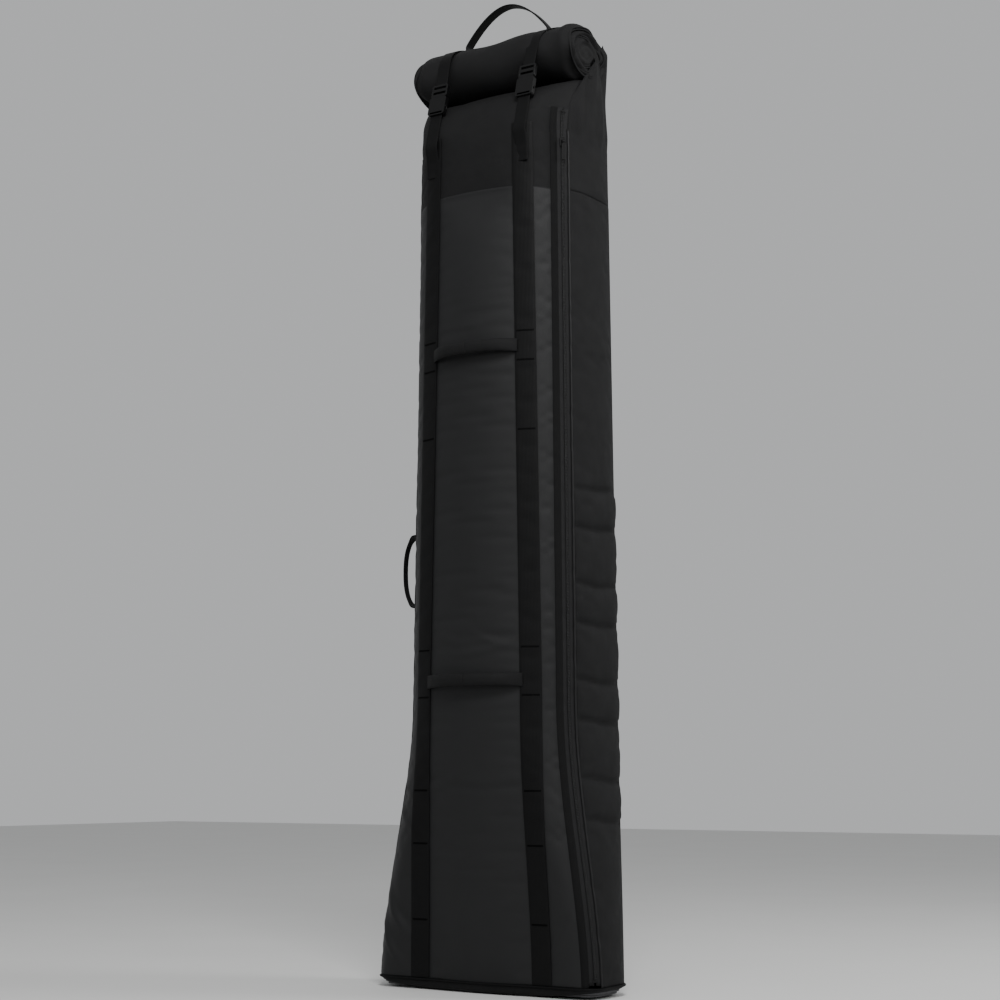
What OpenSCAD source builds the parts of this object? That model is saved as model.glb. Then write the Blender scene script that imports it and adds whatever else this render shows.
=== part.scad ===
// Padded roll-top ski bag, standing up on its base.
// The front faces -Y, +X is on the right of the front, +Z is up.
// The origin is the centre of the flat underside of the base.

/* [Base] */
// Width of the base
base_w = 450; // [400:5:540]
// Depth of the base, front to back
base_d = 140; // [125:5:175]
// Corner radius of the base at the front
base_rf = 34; // [25:1:45]
// Corner radius of the base at the back
base_rb = 58; // [45:1:62]
// Radius of the rounded edge under the bag
foot_r = 18; // [15:1:24]

/* [Body] */
// Width of the body above the flared foot
body_w = 356; // [300:2:430]
// Depth of the body above the flared foot
body_d = 240; // [200:2:290]
// Corner radius of the body at the front
body_rf = 104; // [85:1:110]
// Corner radius of the body at the back
body_rb = 72; // [60:1:85]
// How far the body's centre stands behind the base's centre
lean = 30; // [0:1:45]
// Height at which the flare of the foot ends
flare_h = 500; // [420:5:600]

/* [Top] */
// Width of the bag where it turns in under the roll
top_w = 336; // [285:2:400]
// Depth of the bag where it turns in under the roll
top_d = 234; // [195:2:280]
// Height of the seam between the coated panel and the collar
seam_h = 1392; // [1160:4:1440]
// Height at which the collar turns in
neck_start = 1500; // [1460:5:1800]
// Height from there to the end of the collar, under the roll
neck_rise = 106; // [90:1:120]
// Depth of the closed collar
neck_d = 44; // [38:1:52]

/* [Roll] */
// Length of the roll, side to side
roll_len = 342; // [290:2:400]
// Depth of the roll, front to back
roll_d = 140; // [120:2:160]
// Height of the roll
roll_h = 106; // [90:1:128]
// Distance of the roll's centre behind the base's centre
roll_y = 22; // [5:1:35]
// Thickness of the rolled fabric, all its plies together
ply = 7; // [4:0.1:8.5]
// Space between two turns of the roll
turn_gap = 3; // [2:0.5:5]
// Turns in the roll
turns = 2.25; // [1.25:0.25:2.5]
// Width of the stiffener along the rolled hem
stiff_w = 50; // [30:1:54]
// Thickness of the stiffener
stiff_t = 3; // [2:0.5:4]

/* [Cloth and padding] */
// Thickness of the outer cloth
skin = 1.2; // [0.8:0.1:1.6]
// Thickness of the foam in the walls
foam = 8; // [5:0.5:12]
// Thickness of the lining
lining_t = 1.2; // [0.8:0.1:1.6]
// Clearance between plies that lie on each other on a curve
lay = 1; // [0.8:0.1:1.5]
// Thickness of the board in the base
board = 3; // [2:0.5:4]
// Thickness of the foam in the base
base_foam = 8; // [6:0.5:12]
// Height of the lowest quilting line across the side walls
quilt_low = 288; // [230:1:340]
// Distance between the two quilting lines of a pair
narrow_rib = 69; // [50:1:80]
// Distance from one pair of quilting lines to the next
wide_rib = 99; // [80:1:110]
// Width of the gap in the foam where a quilting line is sewn down
rib_gap = 9; // [5:1:14]

/* [Zip] */
// Width of the zip, over both tapes
zip_w = 20; // [16:1:26]
// Width of the coil
coil_w = 4; // [3:0.5:5]
// Width of the binding over the panel's edge
bind_w = 12; // [8:1:16]
// Turn of the corner at which the zip sits, in degrees
zip_turn = 57; // [50:1:65]
// Length of the slider
slider_len = 16; // [12:1:20]
// Width of the slider
slider_w = 10; // [8:0.5:13]
// Length of the pull
pull_len = 34; // [25:1:45]
// Thickness of the pull
pull_t = 1.4; // [1:0.2:2]
// Radius of the pull's pin
pin_r = 0.9; // [0.7:0.1:1.2]
// Running clearance of the pull on its pin
pin_gap = 0.35; // [0.3:0.05:0.5]
// Diameter of the piping
piping_d = 4; // [3:0.5:5]

/* [Webbing] */
// Width of the wide webbing
wide_web = 38; // [30:1:50]
// Width of the narrow webbing
narrow_web = 25; // [20:1:30]
// Thickness of the webbing
web_t = 1.6; // [1.2:0.1:2.2]
// Distance of the wide webbing's centre from the middle, at the base
web_foot = 124; // [100:1:150]
// Distance of the wide webbing's centre from the middle, on the body
web_body = 112; // [95:1:130]
// Distance of the straps' centres from the middle, at the top
web_top = 95; // [80:1:110]
// How far the straps spread outwards up to the top of the roll, for each length that they go back
splay = 0.15; // [0:0.01:0.16]

/* [Grab handles] */
// Height of the lower grab handle
low_grab_h = 527; // [515:1:640]
// Height of the upper grab handle
high_grab_h = 1109; // [900:1:1300]
// Height of the band of a grab handle
grab_w = 24; // [18:1:30]
// Thickness of the padded grip
grab_t = 9; // [6:0.5:12]
// Finger room behind the grip
grab_room = 14; // [12:1:20]
// Half length of the moving part of the grip
grab_half = 60; // [40:1:66]
// Wall of the grip's sleeve
sleeve = 1.2; // [0.8:0.1:1.6]

/* [Side and haul handles] */
// Height of the middle of the side handle
side_h = 735; // [600:5:900]
// Distance between the side handle's sewn ends
side_span = 132; // [110:2:170]
// Distance that the side handle stands out
side_rise = 38; // [30:1:50]
// Distance of the side handle from the middle, front to back
side_y = 4; // [-6:1:26]
// Rise of the haul handle over the roll
haul_rise = 72; // [55:1:90]
// Width of the haul handle
haul_w = 20; // [16:1:25]
// Thickness of the side and haul handles
loop_t = 2.6; // [2:0.1:3.5]

/* [Buckles] */
// Width of a buckle
buckle_w = 36; // [32:1:42]
// Thickness of a buckle
buckle_t = 9; // [8:0.5:12]
// Length of the socket half
socket_len = 38; // [32:1:46]
// Length of the plug half that shows
plug_len = 26; // [22:1:34]
// Wall of the buckle's moulding
buckle_wall = 2; // [1.6:0.1:2.6]
// Free space around the prongs in the socket
prong_room = 2; // [1.6:0.1:2.6]

/* [Hidden] */
$fn = 32;
// Coarse steps along the flared foot and the neck, where the section changes along a curve
FOOT_STEPS = 8;
NECK_STEPS = 5;
// Steps round one corner of the section
ARC_STEPS = 5;
neck_h = neck_start + neck_rise;
// Gap between two pieces that only touch
touch = 0.4;
// Middle height of the roll: it rests on the closed collar
roll_z = neck_h + touch + roll_h / 2;
// Where the ply of webbing lies on the skin
web_o = 0.8;
strap_o = web_o + web_t + touch;
foam_o = -skin - lay;
lining_o = foam_o - foam - lay;
// Thickness of the cloth under the bag, with its binding
sole_t = 3;
floor_z = sole_t + lay + board + lay + base_foam + lay;

// ---- Shape of the body -------------------------------------------------------------
function mix(a, b, t) = a + (b - a) * t;
function clamp(t) = min(max(t, 0), 1);
function ease(t) = clamp(t) * clamp(t) * (3 - 2 * clamp(t));
function body_part(z) = ease(z / flare_h);
function top_part(z) = clamp((z - flare_h) / (neck_start - flare_h));
function neck_part(z) = clamp((z - neck_start) / neck_rise);
// How far the rounded edge under the bag draws the section in
function tuck(z) = z >= foot_r ? 0 : foot_r - sqrt(foot_r * foot_r - pow(foot_r - z, 2));
function wide(z) = mix(mix(base_w, body_w, body_part(z)), top_w, top_part(z)) - 2 * tuck(z);
function deep_open(z) = mix(mix(base_d, body_d, body_part(z)), top_d, top_part(z)) - 2 * tuck(z);
function deep(z) = max(deep_open(z) * sqrt(1 - pow(neck_part(z), 2)), neck_d);
function mid_y(z) = mix(mix(0, lean, body_part(z)), roll_y, neck_part(z));
// A corner's radius is never more than this share of the depth
CORNER_SHARE = 0.44;
function front_r(z) = min(mix(base_rf, body_rf, body_part(z)), deep(z) * CORNER_SHARE);
function back_r(z) = min(mix(base_rb, body_rb, body_part(z)), deep(z) * CORNER_SHARE);
// Lengths round the section, from the middle of the front
function front_flat(z) = wide(z) / 2 - front_r(z);
function corner_end(z) = front_flat(z) + front_r(z) * PI / 2;
function side_end(z) = corner_end(z) + deep(z) - front_r(z) - back_r(z);
function back_start(z) = side_end(z) + back_r(z) * PI / 2;
function half_round(z) = back_start(z) + wide(z) / 2 - back_r(z);
function degrees(arc, r) = arc / r * 180 / PI;
function flip(p) = [-p[0], p[1], p[2]];
// Point at height z, a length l round the section, and o outside the skin
function spot(z, l, o) =
    l < 0 ? flip(spot(z, -l, o))
    : l > half_round(z) ? flip(spot(z, 2 * half_round(z) - l, o))
    : let (a = wide(z) / 2, f = mid_y(z) - deep(z) / 2, b = f + deep(z), rf = front_r(z), rb = back_r(z))
      l <= front_flat(z) ? [l, f - o, z]
    : l <= corner_end(z) ? let (t = degrees(l - front_flat(z), rf))
        [a - rf + (rf + o) * sin(t), f + rf - (rf + o) * cos(t), z]
    : l <= side_end(z) ? [a + o, f + rf + l - corner_end(z), z]
    : l <= back_start(z) ? let (t = degrees(l - side_end(z), rb))
        [a - rb + (rb + o) * cos(t), b - rb + (rb + o) * sin(t), z]
    : [a - rb - (l - back_start(z)), b + o, z];
// Seams and straps, as lengths round the section
// The zip turns a little more to the front at the foot
FOOT_TURN = 5;
// Share of the back corner that belongs to the side panel
BACK_CORNER = 0.35;
function zip_l(z) = front_flat(z) + front_r(z) * mix(zip_turn - FOOT_TURN, zip_turn, body_part(z)) * PI / 180;
function back_seam(z) = side_end(z) + BACK_CORNER * back_r(z) * PI / 2;
function web_l(z) = mix(mix(web_foot, web_body, body_part(z)), web_top, top_part(z));

function steps(a, b, n) = [for (k = [0 : n]) mix(a, b, k / n)];
function foot_rows(z0) = [z0, for (k = [1 : FOOT_STEPS]) mix(foot_r, flare_h, pow(k / FOOT_STEPS, 0.9))];
NECK_ROWS = [for (k = [0 : NECK_STEPS]) neck_start + neck_rise * sin(88 * k / NECK_STEPS)];

// A closed sheet on the section: rows are heights, cols(z) are lengths round the section,
// and it fills the space from o0 to o1 outside the skin, plus lift(z) where it stands off it.
// A loop goes all the way round.
module sheet(rows, cols, o0, o1, loop = false, lift = function(z) 0) {
    n = len(cols(rows[0]));
    m = len(rows);
    points = [for (z = rows) for (l = cols(z)) for (o = [o1, o0]) spot(z, l, o + lift(z))];
    wraps = loop ? n : n - 1;
    function at(i, j) = (i * n + j % n) * 2;
    faces = [
        for (i = [0 : m - 2]) for (j = [0 : wraps - 1])
            let (a = at(i, j), b = at(i, j + 1), c = at(i + 1, j + 1), d = at(i + 1, j))
            each [[a, d, c], [a, c, b], [a + 1, c + 1, d + 1], [a + 1, b + 1, c + 1]],
        for (j = [0 : wraps - 1]) let (a = at(0, j), b = at(0, j + 1))
            each [[a, b, b + 1], [a, b + 1, a + 1]],
        for (j = [0 : wraps - 1]) let (a = at(m - 1, j), b = at(m - 1, j + 1))
            each [[a, a + 1, b + 1], [a, b + 1, b]],
        if (!loop) for (i = [0 : m - 2]) let (a = at(i, 0), d = at(i + 1, 0))
            each [[a + 1, d + 1, d], [a + 1, d, a]],
        if (!loop) for (i = [0 : m - 2]) let (b = at(i, n - 1), c = at(i + 1, n - 1))
            each [[b, c, c + 1], [b, c + 1, b + 1]],
    ];
    polyhedron(points, faces);
}
// A flat slab with the section's outline at height z, drawn in by inset
module slab(z, inset, low, thick) {
    translate([0, 0, low])
        linear_extrude(thick)
            polygon([for (l = ring_cols(z)) let (p = spot(z, l, -inset)) [p[0], p[1]]]);
}
// Lengths all the way round, closer together on the corners
function half_ring(z) = concat(steps(front_flat(z), corner_end(z), ARC_STEPS),
    steps(side_end(z), back_start(z), ARC_STEPS));
function ring_cols(z) = let (h = half_ring(z), n = len(h))
    concat(h, [for (k = [n - 1 : -1 : 0]) 2 * half_round(z) - h[k]]);

CANVAS = "#1b1b1d";
COATED = "#2c2d30";
WEB = "#151517";
PLASTIC = "#1a1a1b";
FOAM = "#4a4a4e";

// ---- Outer panels ------------------------------------------------------------------
WALL_LOW = foot_r + 1;
WALL_ROWS = concat(foot_rows(WALL_LOW), [seam_h]);
COLLAR_ROWS = concat([seam_h + 0.6], NECK_ROWS);
BAND_IN = zip_w / 2 + 2;
PIPE_AT = zip_w / 2 + 0.5;
WALL_AT = PIPE_AT + piping_d + 0.5;
// Columns across the front between a on the left and b on the right, with the flat in one step
function across_front(z, a, b) = let (f = min(front_flat(z), b - 5, -a - 5))
    concat(steps(a, -f, ARC_STEPS), steps(f, b, ARC_STEPS));
// Columns round the right side from a to b, with the flat in one step
function round_side(z, a, b) =
    let (c = max(corner_end(z), a + 2), e = min(max(side_end(z), c + 2), b - 2))
    concat(steps(a, c, 2), steps(e, b, 2));
function across_back(z, a) = let (b = 2 * half_round(z) - a)
    concat(steps(a, back_start(z), 3), steps(2 * half_round(z) - back_start(z), b, 3));
function turned(cols) = [for (k = [len(cols) - 1 : -1 : 0]) -cols[k]];
function front_cols(z) = across_front(z, -(zip_l(z) + PIPE_AT - 0.5), zip_l(z) - BAND_IN);
function right_cols(z) = round_side(z, zip_l(z) + WALL_AT, back_seam(z) - 0.3);
function left_cols(z) = turned(right_cols(z));
function back_cols(z) = across_back(z, back_seam(z) + 0.3);

module front_panel() { color(COATED) sheet(WALL_ROWS, function(z) front_cols(z), -skin, 0); }
module front_collar() { color(CANVAS) sheet(COLLAR_ROWS, function(z) front_cols(z), -skin, 0); }
module back_panel() { color(CANVAS) sheet(WALL_ROWS, function(z) back_cols(z), -skin, 0); }
module back_collar() { color(CANVAS) sheet(COLLAR_ROWS, function(z) back_cols(z), -skin, 0); }
module left_side_panel() { color(CANVAS) sheet(WALL_ROWS, function(z) left_cols(z), -skin, 0); }
module right_side_panel() { color(CANVAS) sheet(WALL_ROWS, function(z) right_cols(z), -skin, 0); }
module left_gusset() { color(CANVAS) sheet(COLLAR_ROWS, function(z) left_cols(z), -skin, 0); }
module right_gusset() { color(CANVAS) sheet(COLLAR_ROWS, function(z) right_cols(z), -skin, 0); }

// ---- Base --------------------------------------------------------------------------
EDGE_LOW = sole_t + 0.2;
module base_panel() { color(CANVAS) slab(foot_r, tuck(EDGE_LOW) + skin, 0, sole_t); }
module base_edge() {
    color(CANVAS)
        sheet([for (k = [0 : 4]) mix(EDGE_LOW, foot_r - 1, pow(k / 4, 1.3))], function(z) ring_cols(z),
            -skin, 0, loop = true);
}
// Distance of the board and the pad from the rounded edge
INLAY = 3;
BOARD_Z = sole_t + lay;
PAD_Z = BOARD_Z + board + lay;
module base_board() { color(PLASTIC) slab(foot_r, tuck(sole_t) + skin + INLAY, BOARD_Z, board); }
module base_pad() { color(FOAM) slab(foot_r, tuck(BOARD_Z + board) + skin + INLAY, PAD_Z, base_foam); }

// ---- Lining and padding ------------------------------------------------------------
PAD_LOW = floor_z + 2;
module lining() {
    color(CANVAS)
        sheet(concat(foot_rows(PAD_LOW + 1), [neck_start]), function(z) ring_cols(z),
            lining_o - lining_t, lining_o, loop = true);
}
module lining_floor() { color(CANVAS) slab(foot_r, INLAY - lining_o, floor_z, lining_t); }
module front_foam() {
    color(FOAM)
        sheet(concat(foot_rows(PAD_LOW), [neck_start]),
            function(z) across_front(z, -(zip_l(z) - 4), zip_l(z) - BAND_IN - 4), foam_o - foam, foam_o);
}
module back_foam() {
    color(FOAM)
        sheet(concat(foot_rows(PAD_LOW), [neck_start]),
            function(z) across_back(z, back_seam(z) + 6), foam_o - foam, foam_o);
}
// The side walls are quilted in pairs of lines, with foam between the lines and smooth foam above and below
QUILT_PAIRS = 4;
RIBS_LOW = 88;
RIBS_HIGH = seam_h - 8;
SIDE_MARGIN = 10;
QUILT_LINES = [for (k = [0 : QUILT_PAIRS - 1]) for (line = [0, narrow_rib])
    quilt_low + k * (narrow_rib + wide_rib) + line];
RIB_EDGES = concat([RIBS_LOW - rib_gap / 2], QUILT_LINES, [RIBS_HIGH + rib_gap / 2]);
module ribs(side) {
    for (k = [0 : len(RIB_EDGES) - 2]) {
        z0 = RIB_EDGES[k] + rib_gap / 2;
        z1 = RIB_EDGES[k + 1] - rib_gap / 2;
        rows = z0 < flare_h ? steps(z0, z1, ceil((z1 - z0) / 20)) : [z0, z1];
        cols = function(z) round_side(z, zip_l(z) + WALL_AT + SIDE_MARGIN, back_seam(z) - SIDE_MARGIN);
        sheet(rows, side < 0 ? function(z) turned(cols(z)) : cols, foam_o - foam, foam_o);
    }
}
module left_ribs() { color(FOAM) ribs(-1); }
module right_ribs() { color(FOAM) ribs(1); }

// ---- Zip ---------------------------------------------------------------------------
ZIP_TOP = neck_start + neck_rise * 0.4;
ZIP_LOW = foot_r + 6;
ZIP_ROWS = concat(foot_rows(ZIP_LOW), [neck_start, mix(neck_start, ZIP_TOP, 0.6), ZIP_TOP]);
coil_h = 1.6;
coil_o = 0.3;
module zip_front_tape() {
    color(CANVAS) sheet(ZIP_ROWS, function(z) [zip_l(z) - zip_w / 2, zip_l(z) - coil_w / 4], -skin, 0);
}
module zip_side_tape() {
    color(CANVAS) sheet(ZIP_ROWS, function(z) [zip_l(z) + coil_w / 4, zip_l(z) + zip_w / 2], -skin, 0);
}
module zip_coil() {
    color("#303034")
        sheet(ZIP_ROWS, function(z) [zip_l(z) - coil_w / 2, zip_l(z) + coil_w / 2], coil_o, coil_o + coil_h);
}
module zip_binding() {
    color(WEB)
        sheet(ZIP_ROWS, function(z) let (edge = zip_l(z) - zip_w / 2) steps(edge - bind_w, edge - 0.5, 2),
            touch, touch + skin);
}
// Slider: a plate that rides over the coil, with two posts that carry the pull's pin
slider_z = neck_start - 22;
plate_o = coil_o + coil_h + 0.7;
plate_t = 1.4;
eye_r = 2.4;
pin_o = plate_o + plate_t + eye_r + 0.6;
eye_w = 4;
post_t = 1;
// Places children on the zip's line: x along the cloth, -y out of it, z up the line
slide_low = spot(flare_h, zip_l(flare_h), 0);
slide_high = spot(neck_start, zip_l(neck_start), 0);
slide_dir = (slide_high - slide_low) / norm(slide_high - slide_low);
slide_mid = mix(slide_low, slide_high, (slider_z - flare_h) / (neck_start - flare_h));
function lean_x(d) = atan2(-d[1], norm([d[0], d[2]]));
module on_zip() {
    translate(slide_mid)
        rotate([0, asin(slide_dir[0]), 0])
            rotate([lean_x(slide_dir), 0, 0])
                rotate([0, 0, zip_turn])
                    children();
}
module zip_slider() {
    color(PLASTIC)
        on_zip() {
            translate([-slider_w / 2, -plate_o - plate_t, -slider_len / 2])
                cube([slider_w, plate_t, slider_len]);
            for (side = [-1, 1])
                translate([side * (eye_w / 2 + 0.4 + post_t / 2) - post_t / 2, -pin_o - 1.6, -2.2])
                    cube([post_t, pin_o + 1.6 - plate_o - 0.4, 4.4]);
            translate([0, -pin_o, 0])
                rotate([0, 90, 0])
                    cylinder(r = pin_r, h = eye_w + 0.8 + 2 * post_t, center = true);
        }
}
module zip_pull() {
    color(PLASTIC)
        on_zip()
            translate([0, -pin_o, 0])
                difference() {
                    union() {
                        rotate([0, 90, 0])
                            cylinder(r = eye_r, h = eye_w, center = true);
                        translate([-eye_w / 2, -pull_t / 2, -eye_r - 6])
                            cube([eye_w, pull_t, eye_r + 6]);
                        translate([-3.5, -pull_t / 2, -pull_len])
                            cube([7, pull_t, pull_len - eye_r - 2]);
                    }
                    rotate([0, 90, 0])
                        cylinder(r = pin_r + pin_gap, h = eye_w + 1, center = true);
                }
}
module zip_stops() {
    stop_o = coil_o + coil_h + 0.5;
    color("#6a6a6e")
        for (low = [ZIP_LOW + 5, ZIP_TOP - 9])
            sheet([low, low + 4], function(z) [zip_l(z) - coil_w, zip_l(z) + coil_w], stop_o, stop_o + skin);
}

// ---- Piping ------------------------------------------------------------------------
PIPE_ROWS = concat(foot_rows(ZIP_LOW), [neck_start]);
// How far the piping sits into its seam
PIPE_SUNK = 1;
function pipe_cols(z) = steps(zip_l(z) + PIPE_AT, zip_l(z) + PIPE_AT + piping_d, 2);
module left_piping() {
    color("#3a3a3d")
        sheet(PIPE_ROWS, function(z) turned(pipe_cols(z)), -PIPE_SUNK, piping_d - PIPE_SUNK);
}
module right_piping() {
    color("#3a3a3d")
        sheet(PIPE_ROWS, function(z) pipe_cols(z), -PIPE_SUNK, piping_d - PIPE_SUNK);
}
module base_piping() {
    color(WEB)
        sheet([foot_r - 2.4, foot_r - 0.8, foot_r + 0.8], function(z) ring_cols(z),
            touch, piping_d, loop = true);
}

// ---- Webbing -----------------------------------------------------------------------
WEB_LOW = foot_r + 4;
WEB_TOP = neck_start + 14;
BACK_WEB_TOP = neck_start - 4;
module front_webbing(side) {
    sheet(concat(foot_rows(WEB_LOW), [neck_start, WEB_TOP]),
        function(z) steps(side * web_l(z) - wide_web / 2, side * web_l(z) + wide_web / 2, 4),
        web_o, web_o + web_t);
}
module back_webbing(side) {
    sheet(concat(foot_rows(WEB_LOW), [BACK_WEB_TOP]),
        function(z) let (c = half_round(z) - side * web_l(z)) steps(c - wide_web / 2, c + wide_web / 2, 4),
        web_o, web_o + web_t);
}
module left_front_webbing() { color(WEB) front_webbing(-1); }
module right_front_webbing() { color(WEB) front_webbing(1); }
module left_back_webbing() { color(WEB) back_webbing(-1); }
module right_back_webbing() { color(WEB) back_webbing(1); }
// Dense bars of stitching across the webbing
TACKS = [105, 235, 326, low_grab_h - 26, low_grab_h + 26, 960, high_grab_h - 26, high_grab_h + 26];
module bartacks() {
    color("#0c0c0d")
        for (side = [-1, 1]) for (h = TACKS)
            sheet([h - 1.5, h + 1.5], function(z) steps(side * web_l(z) - 16, side * web_l(z) + 16, 2),
                strap_o + 0.2, strap_o + 0.8);
}

// ---- Straps over the roll ----------------------------------------------------------
// The strap's line in the YZ plane: up from the front webbing, round the roll, down the back
hump = 4.2;
hug = 1;
// How far the strap stands off the webbing where its straight line to the roll begins
stand_off = 7;
front_a = [spot(neck_start, web_top, strap_o + stand_off)[1], neck_start];
back_a = [spot(neck_start, half_round(neck_start), web_o + web_t + 1.4)[1], neck_start];
function roll_b(extra) = roll_d / 2 + extra;
function roll_c(extra) = roll_h / 2 + extra;
// Turn of the roll, counted from the front, at which a line from p touches it
function from_roll(p) = [(roll_y - p[0]) / roll_b(hug), (p[1] - roll_z) / roll_c(hug)];
function touch_front(p) = let (q = from_roll(p)) atan2(q[1], q[0]) + acos(1 / norm(q));
function touch_back(p) = let (q = from_roll(p)) 360 + atan2(q[1], q[0]) - acos(1 / norm(q));
// The strap lifts over the haul handle's end, on top of the roll
HUMP_WIDE = 15;
function strap_lift(t) = hug + hump * exp(-pow((t - 90) / HUMP_WIDE, 2));
function round_roll(t, o) =
    [roll_y - roll_b(strap_lift(t) + o) * cos(t), roll_z + roll_c(strap_lift(t) + o) * sin(t)];
turn_in = touch_front(front_a);
turn_out = touch_back(back_a);
strap_tilt = atan2(round_roll(turn_in, 0)[0] - front_a[0], round_roll(turn_in, 0)[1] - front_a[1]);
// Distances up the strap's line from front_a
socket_at = 66;
plug_at = socket_at + socket_len;
plug_end = plug_at + plug_len;
function up_line(d, o) = [front_a[0] + d * sin(strap_tilt) - o * cos(strap_tilt),
    front_a[1] + d * cos(strap_tilt) + o * sin(strap_tilt)];
// Places children on the strap's line: x across it, -y out of it, z up it
module on_strap(side, d) {
    translate([side * web_top, up_line(d, 0)[0], up_line(d, 0)[1]])
        rotate([-strap_tilt, 0, 0])
            children();
}
// How far a strap over the roll has spread at y: out from the buckle's end to the roll's top, and back in
function spread(y) = splay * (min(y, 2 * roll_y - y) - up_line(plug_end, 0)[0]);
module closure_strap(side) {
    n = 24;
    turns_at = steps(turn_in, turn_out, n);
    sewn_to = [back_a[0], BACK_WEB_TOP - 60];
    inner = concat([up_line(plug_end - 5, 0)], [for (t = turns_at) round_roll(t, 0)], [back_a], [sewn_to]);
    outer = concat([up_line(plug_end - 5, web_t)], [for (t = turns_at) round_roll(t, web_t)],
        [back_a + [web_t, 0]], [sewn_to + [web_t, 0]]);
    outline = concat(inner, [for (k = [len(outer) - 1 : -1 : 0]) outer[k]]);
    for (way = [1, -1])
        multmatrix([[1, side * way * splay, 0, side * (web_top + spread(roll_y) - way * splay * roll_y)],
            [0, 1, 0, 0], [0, 0, 1, 0]])
            translate([-narrow_web / 2, 0, 0])
                rotate([90, 0, 90])
                    linear_extrude(narrow_web)
                        intersection() {
                            polygon(outline);
                            translate([way > 0 ? roll_y - roll_d : roll_y, 0])
                                square([roll_d, 2 * roll_top_z]);
                        }
}
module left_closure_strap() { color(WEB) closure_strap(-1); }
module right_closure_strap() { color(WEB) closure_strap(1); }
module lower_strap(side) {
    sewn = 58;
    leaves = 30;
    sheet([neck_start - sewn, neck_start - leaves, neck_start],
        function(z) steps(side * web_l(z) - narrow_web / 2, side * web_l(z) + narrow_web / 2, 2),
        strap_o, strap_o + web_t, lift = function(z) stand_off * clamp((z - neck_start + leaves) / leaves));
    on_strap(side, 1)
        translate([-narrow_web / 2, -web_t, 0])
            cube([narrow_web, web_t, socket_at + 3]);
}
module left_lower_strap() { color(WEB) lower_strap(-1); }
module right_lower_strap() { color(WEB) lower_strap(1); }

// ---- Buckles -----------------------------------------------------------------------
// The socket is a flat box, open at the top for the plug and at both sides for the prongs' heads
prong_w = 5;
prong_len = 27;
prong_t = buckle_t - 2 * buckle_wall - 1.4;
strap_slot = web_t + 1.2;
head_len = 8;
window_top = socket_len - prong_len + head_len + 0.6;
// The buckle's middle plane lies this far out of the strap's line
buckle_o = web_t / 2;
module rounded_plate(w, t, h, r) {
    translate([0, t / 2, 0])
        rotate([90, 0, 0])
            linear_extrude(t)
                polygon(concat(
                    [for (a = [0 : 15 : 90]) [w / 2 - r + r * cos(a), h - r + r * sin(a)]],
                    [for (a = [90 : 15 : 180]) [-w / 2 + r + r * cos(a), h - r + r * sin(a)]],
                    [for (a = [180 : 15 : 270]) [-w / 2 + r + r * cos(a), r + r * sin(a)]],
                    [for (a = [270 : 15 : 360]) [w / 2 - r + r * cos(a), r + r * sin(a)]]));
}
module buckle_socket(side) {
    inner_t = buckle_t - 2 * buckle_wall;
    on_strap(side, socket_at)
        translate([0, -buckle_o, 0])
            difference() {
                rounded_plate(buckle_w, buckle_t, socket_len, 5);
                // the chamber for the plug
                translate([-buckle_w / 2 + buckle_wall, -inner_t / 2, 9])
                    cube([buckle_w - 2 * buckle_wall, inner_t, socket_len]);
                // the side windows that catch the prongs' heads
                translate([-buckle_w, -inner_t / 2, window_top - head_len])
                    cube([2 * buckle_w, inner_t, head_len]);
                // the slot for the lower strap
                translate([-narrow_web / 2 - 1, -buckle_t, 2.4])
                    cube([narrow_web + 2, 2 * buckle_t, 3.6]);
                translate([-narrow_web / 2 - 1, -strap_slot / 2, -1])
                    cube([narrow_web + 2, strap_slot, 6]);
            }
}
module buckle_plug(side) {
    bar = 3.2;
    on_strap(side, plug_at + 0.5)
        translate([0, -buckle_o, 0]) {
            difference() {
                rounded_plate(buckle_w - 2, buckle_t - 1.5, plug_len, 4);
                // two slots with a bar between them, and the way in for the strap
                for (z = [6, plug_len - 9])
                    translate([-narrow_web / 2 - 1, -buckle_t, z])
                        cube([narrow_web + 2, 2 * buckle_t, bar * 1.5]);
                translate([-narrow_web / 2 - 1, -strap_slot / 2, plug_len - 9])
                    cube([narrow_web + 2, strap_slot, 20]);
            }
            // the tongue between the prongs
            translate([-3, -prong_t / 2, -20])
                cube([6, prong_t, 20.5]);
        }
}
// A prong: a spring arm from the plug, with a head that stands in the socket's side window
prong_root = buckle_w / 2 - buckle_wall - prong_room - 1;
module prong(side, hand) {
    on_strap(side, plug_at)
        translate([0, -buckle_o - prong_t / 2, 0])
            mirror([hand < 0 ? 1 : 0, 0, 0])
                rotate([90, 0, 0])
                    translate([0, 0, -prong_t])
                        linear_extrude(prong_t)
                            polygon([[prong_root, -0.1], [prong_root - prong_w, -0.1],
                                [prong_root - prong_w, -prong_len], [prong_root + 1, -prong_len],
                                [buckle_w / 2 + 0.5, -prong_len + head_len - 2],
                                [buckle_w / 2 + 0.5, -prong_len + head_len],
                                [prong_root, -prong_len + head_len]]);
}
module left_buckle_socket() { color(PLASTIC) buckle_socket(-1); }
module right_buckle_socket() { color(PLASTIC) buckle_socket(1); }
module left_buckle_plug() { color(PLASTIC) buckle_plug(-1); }
module right_buckle_plug() { color(PLASTIC) buckle_plug(1); }
module left_buckle_left_prong() { color(PLASTIC) prong(-1, -1); }
module left_buckle_right_prong() { color(PLASTIC) prong(-1, 1); }
module right_buckle_left_prong() { color(PLASTIC) prong(1, -1); }
module right_buckle_right_prong() { color(PLASTIC) prong(1, 1); }

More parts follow.
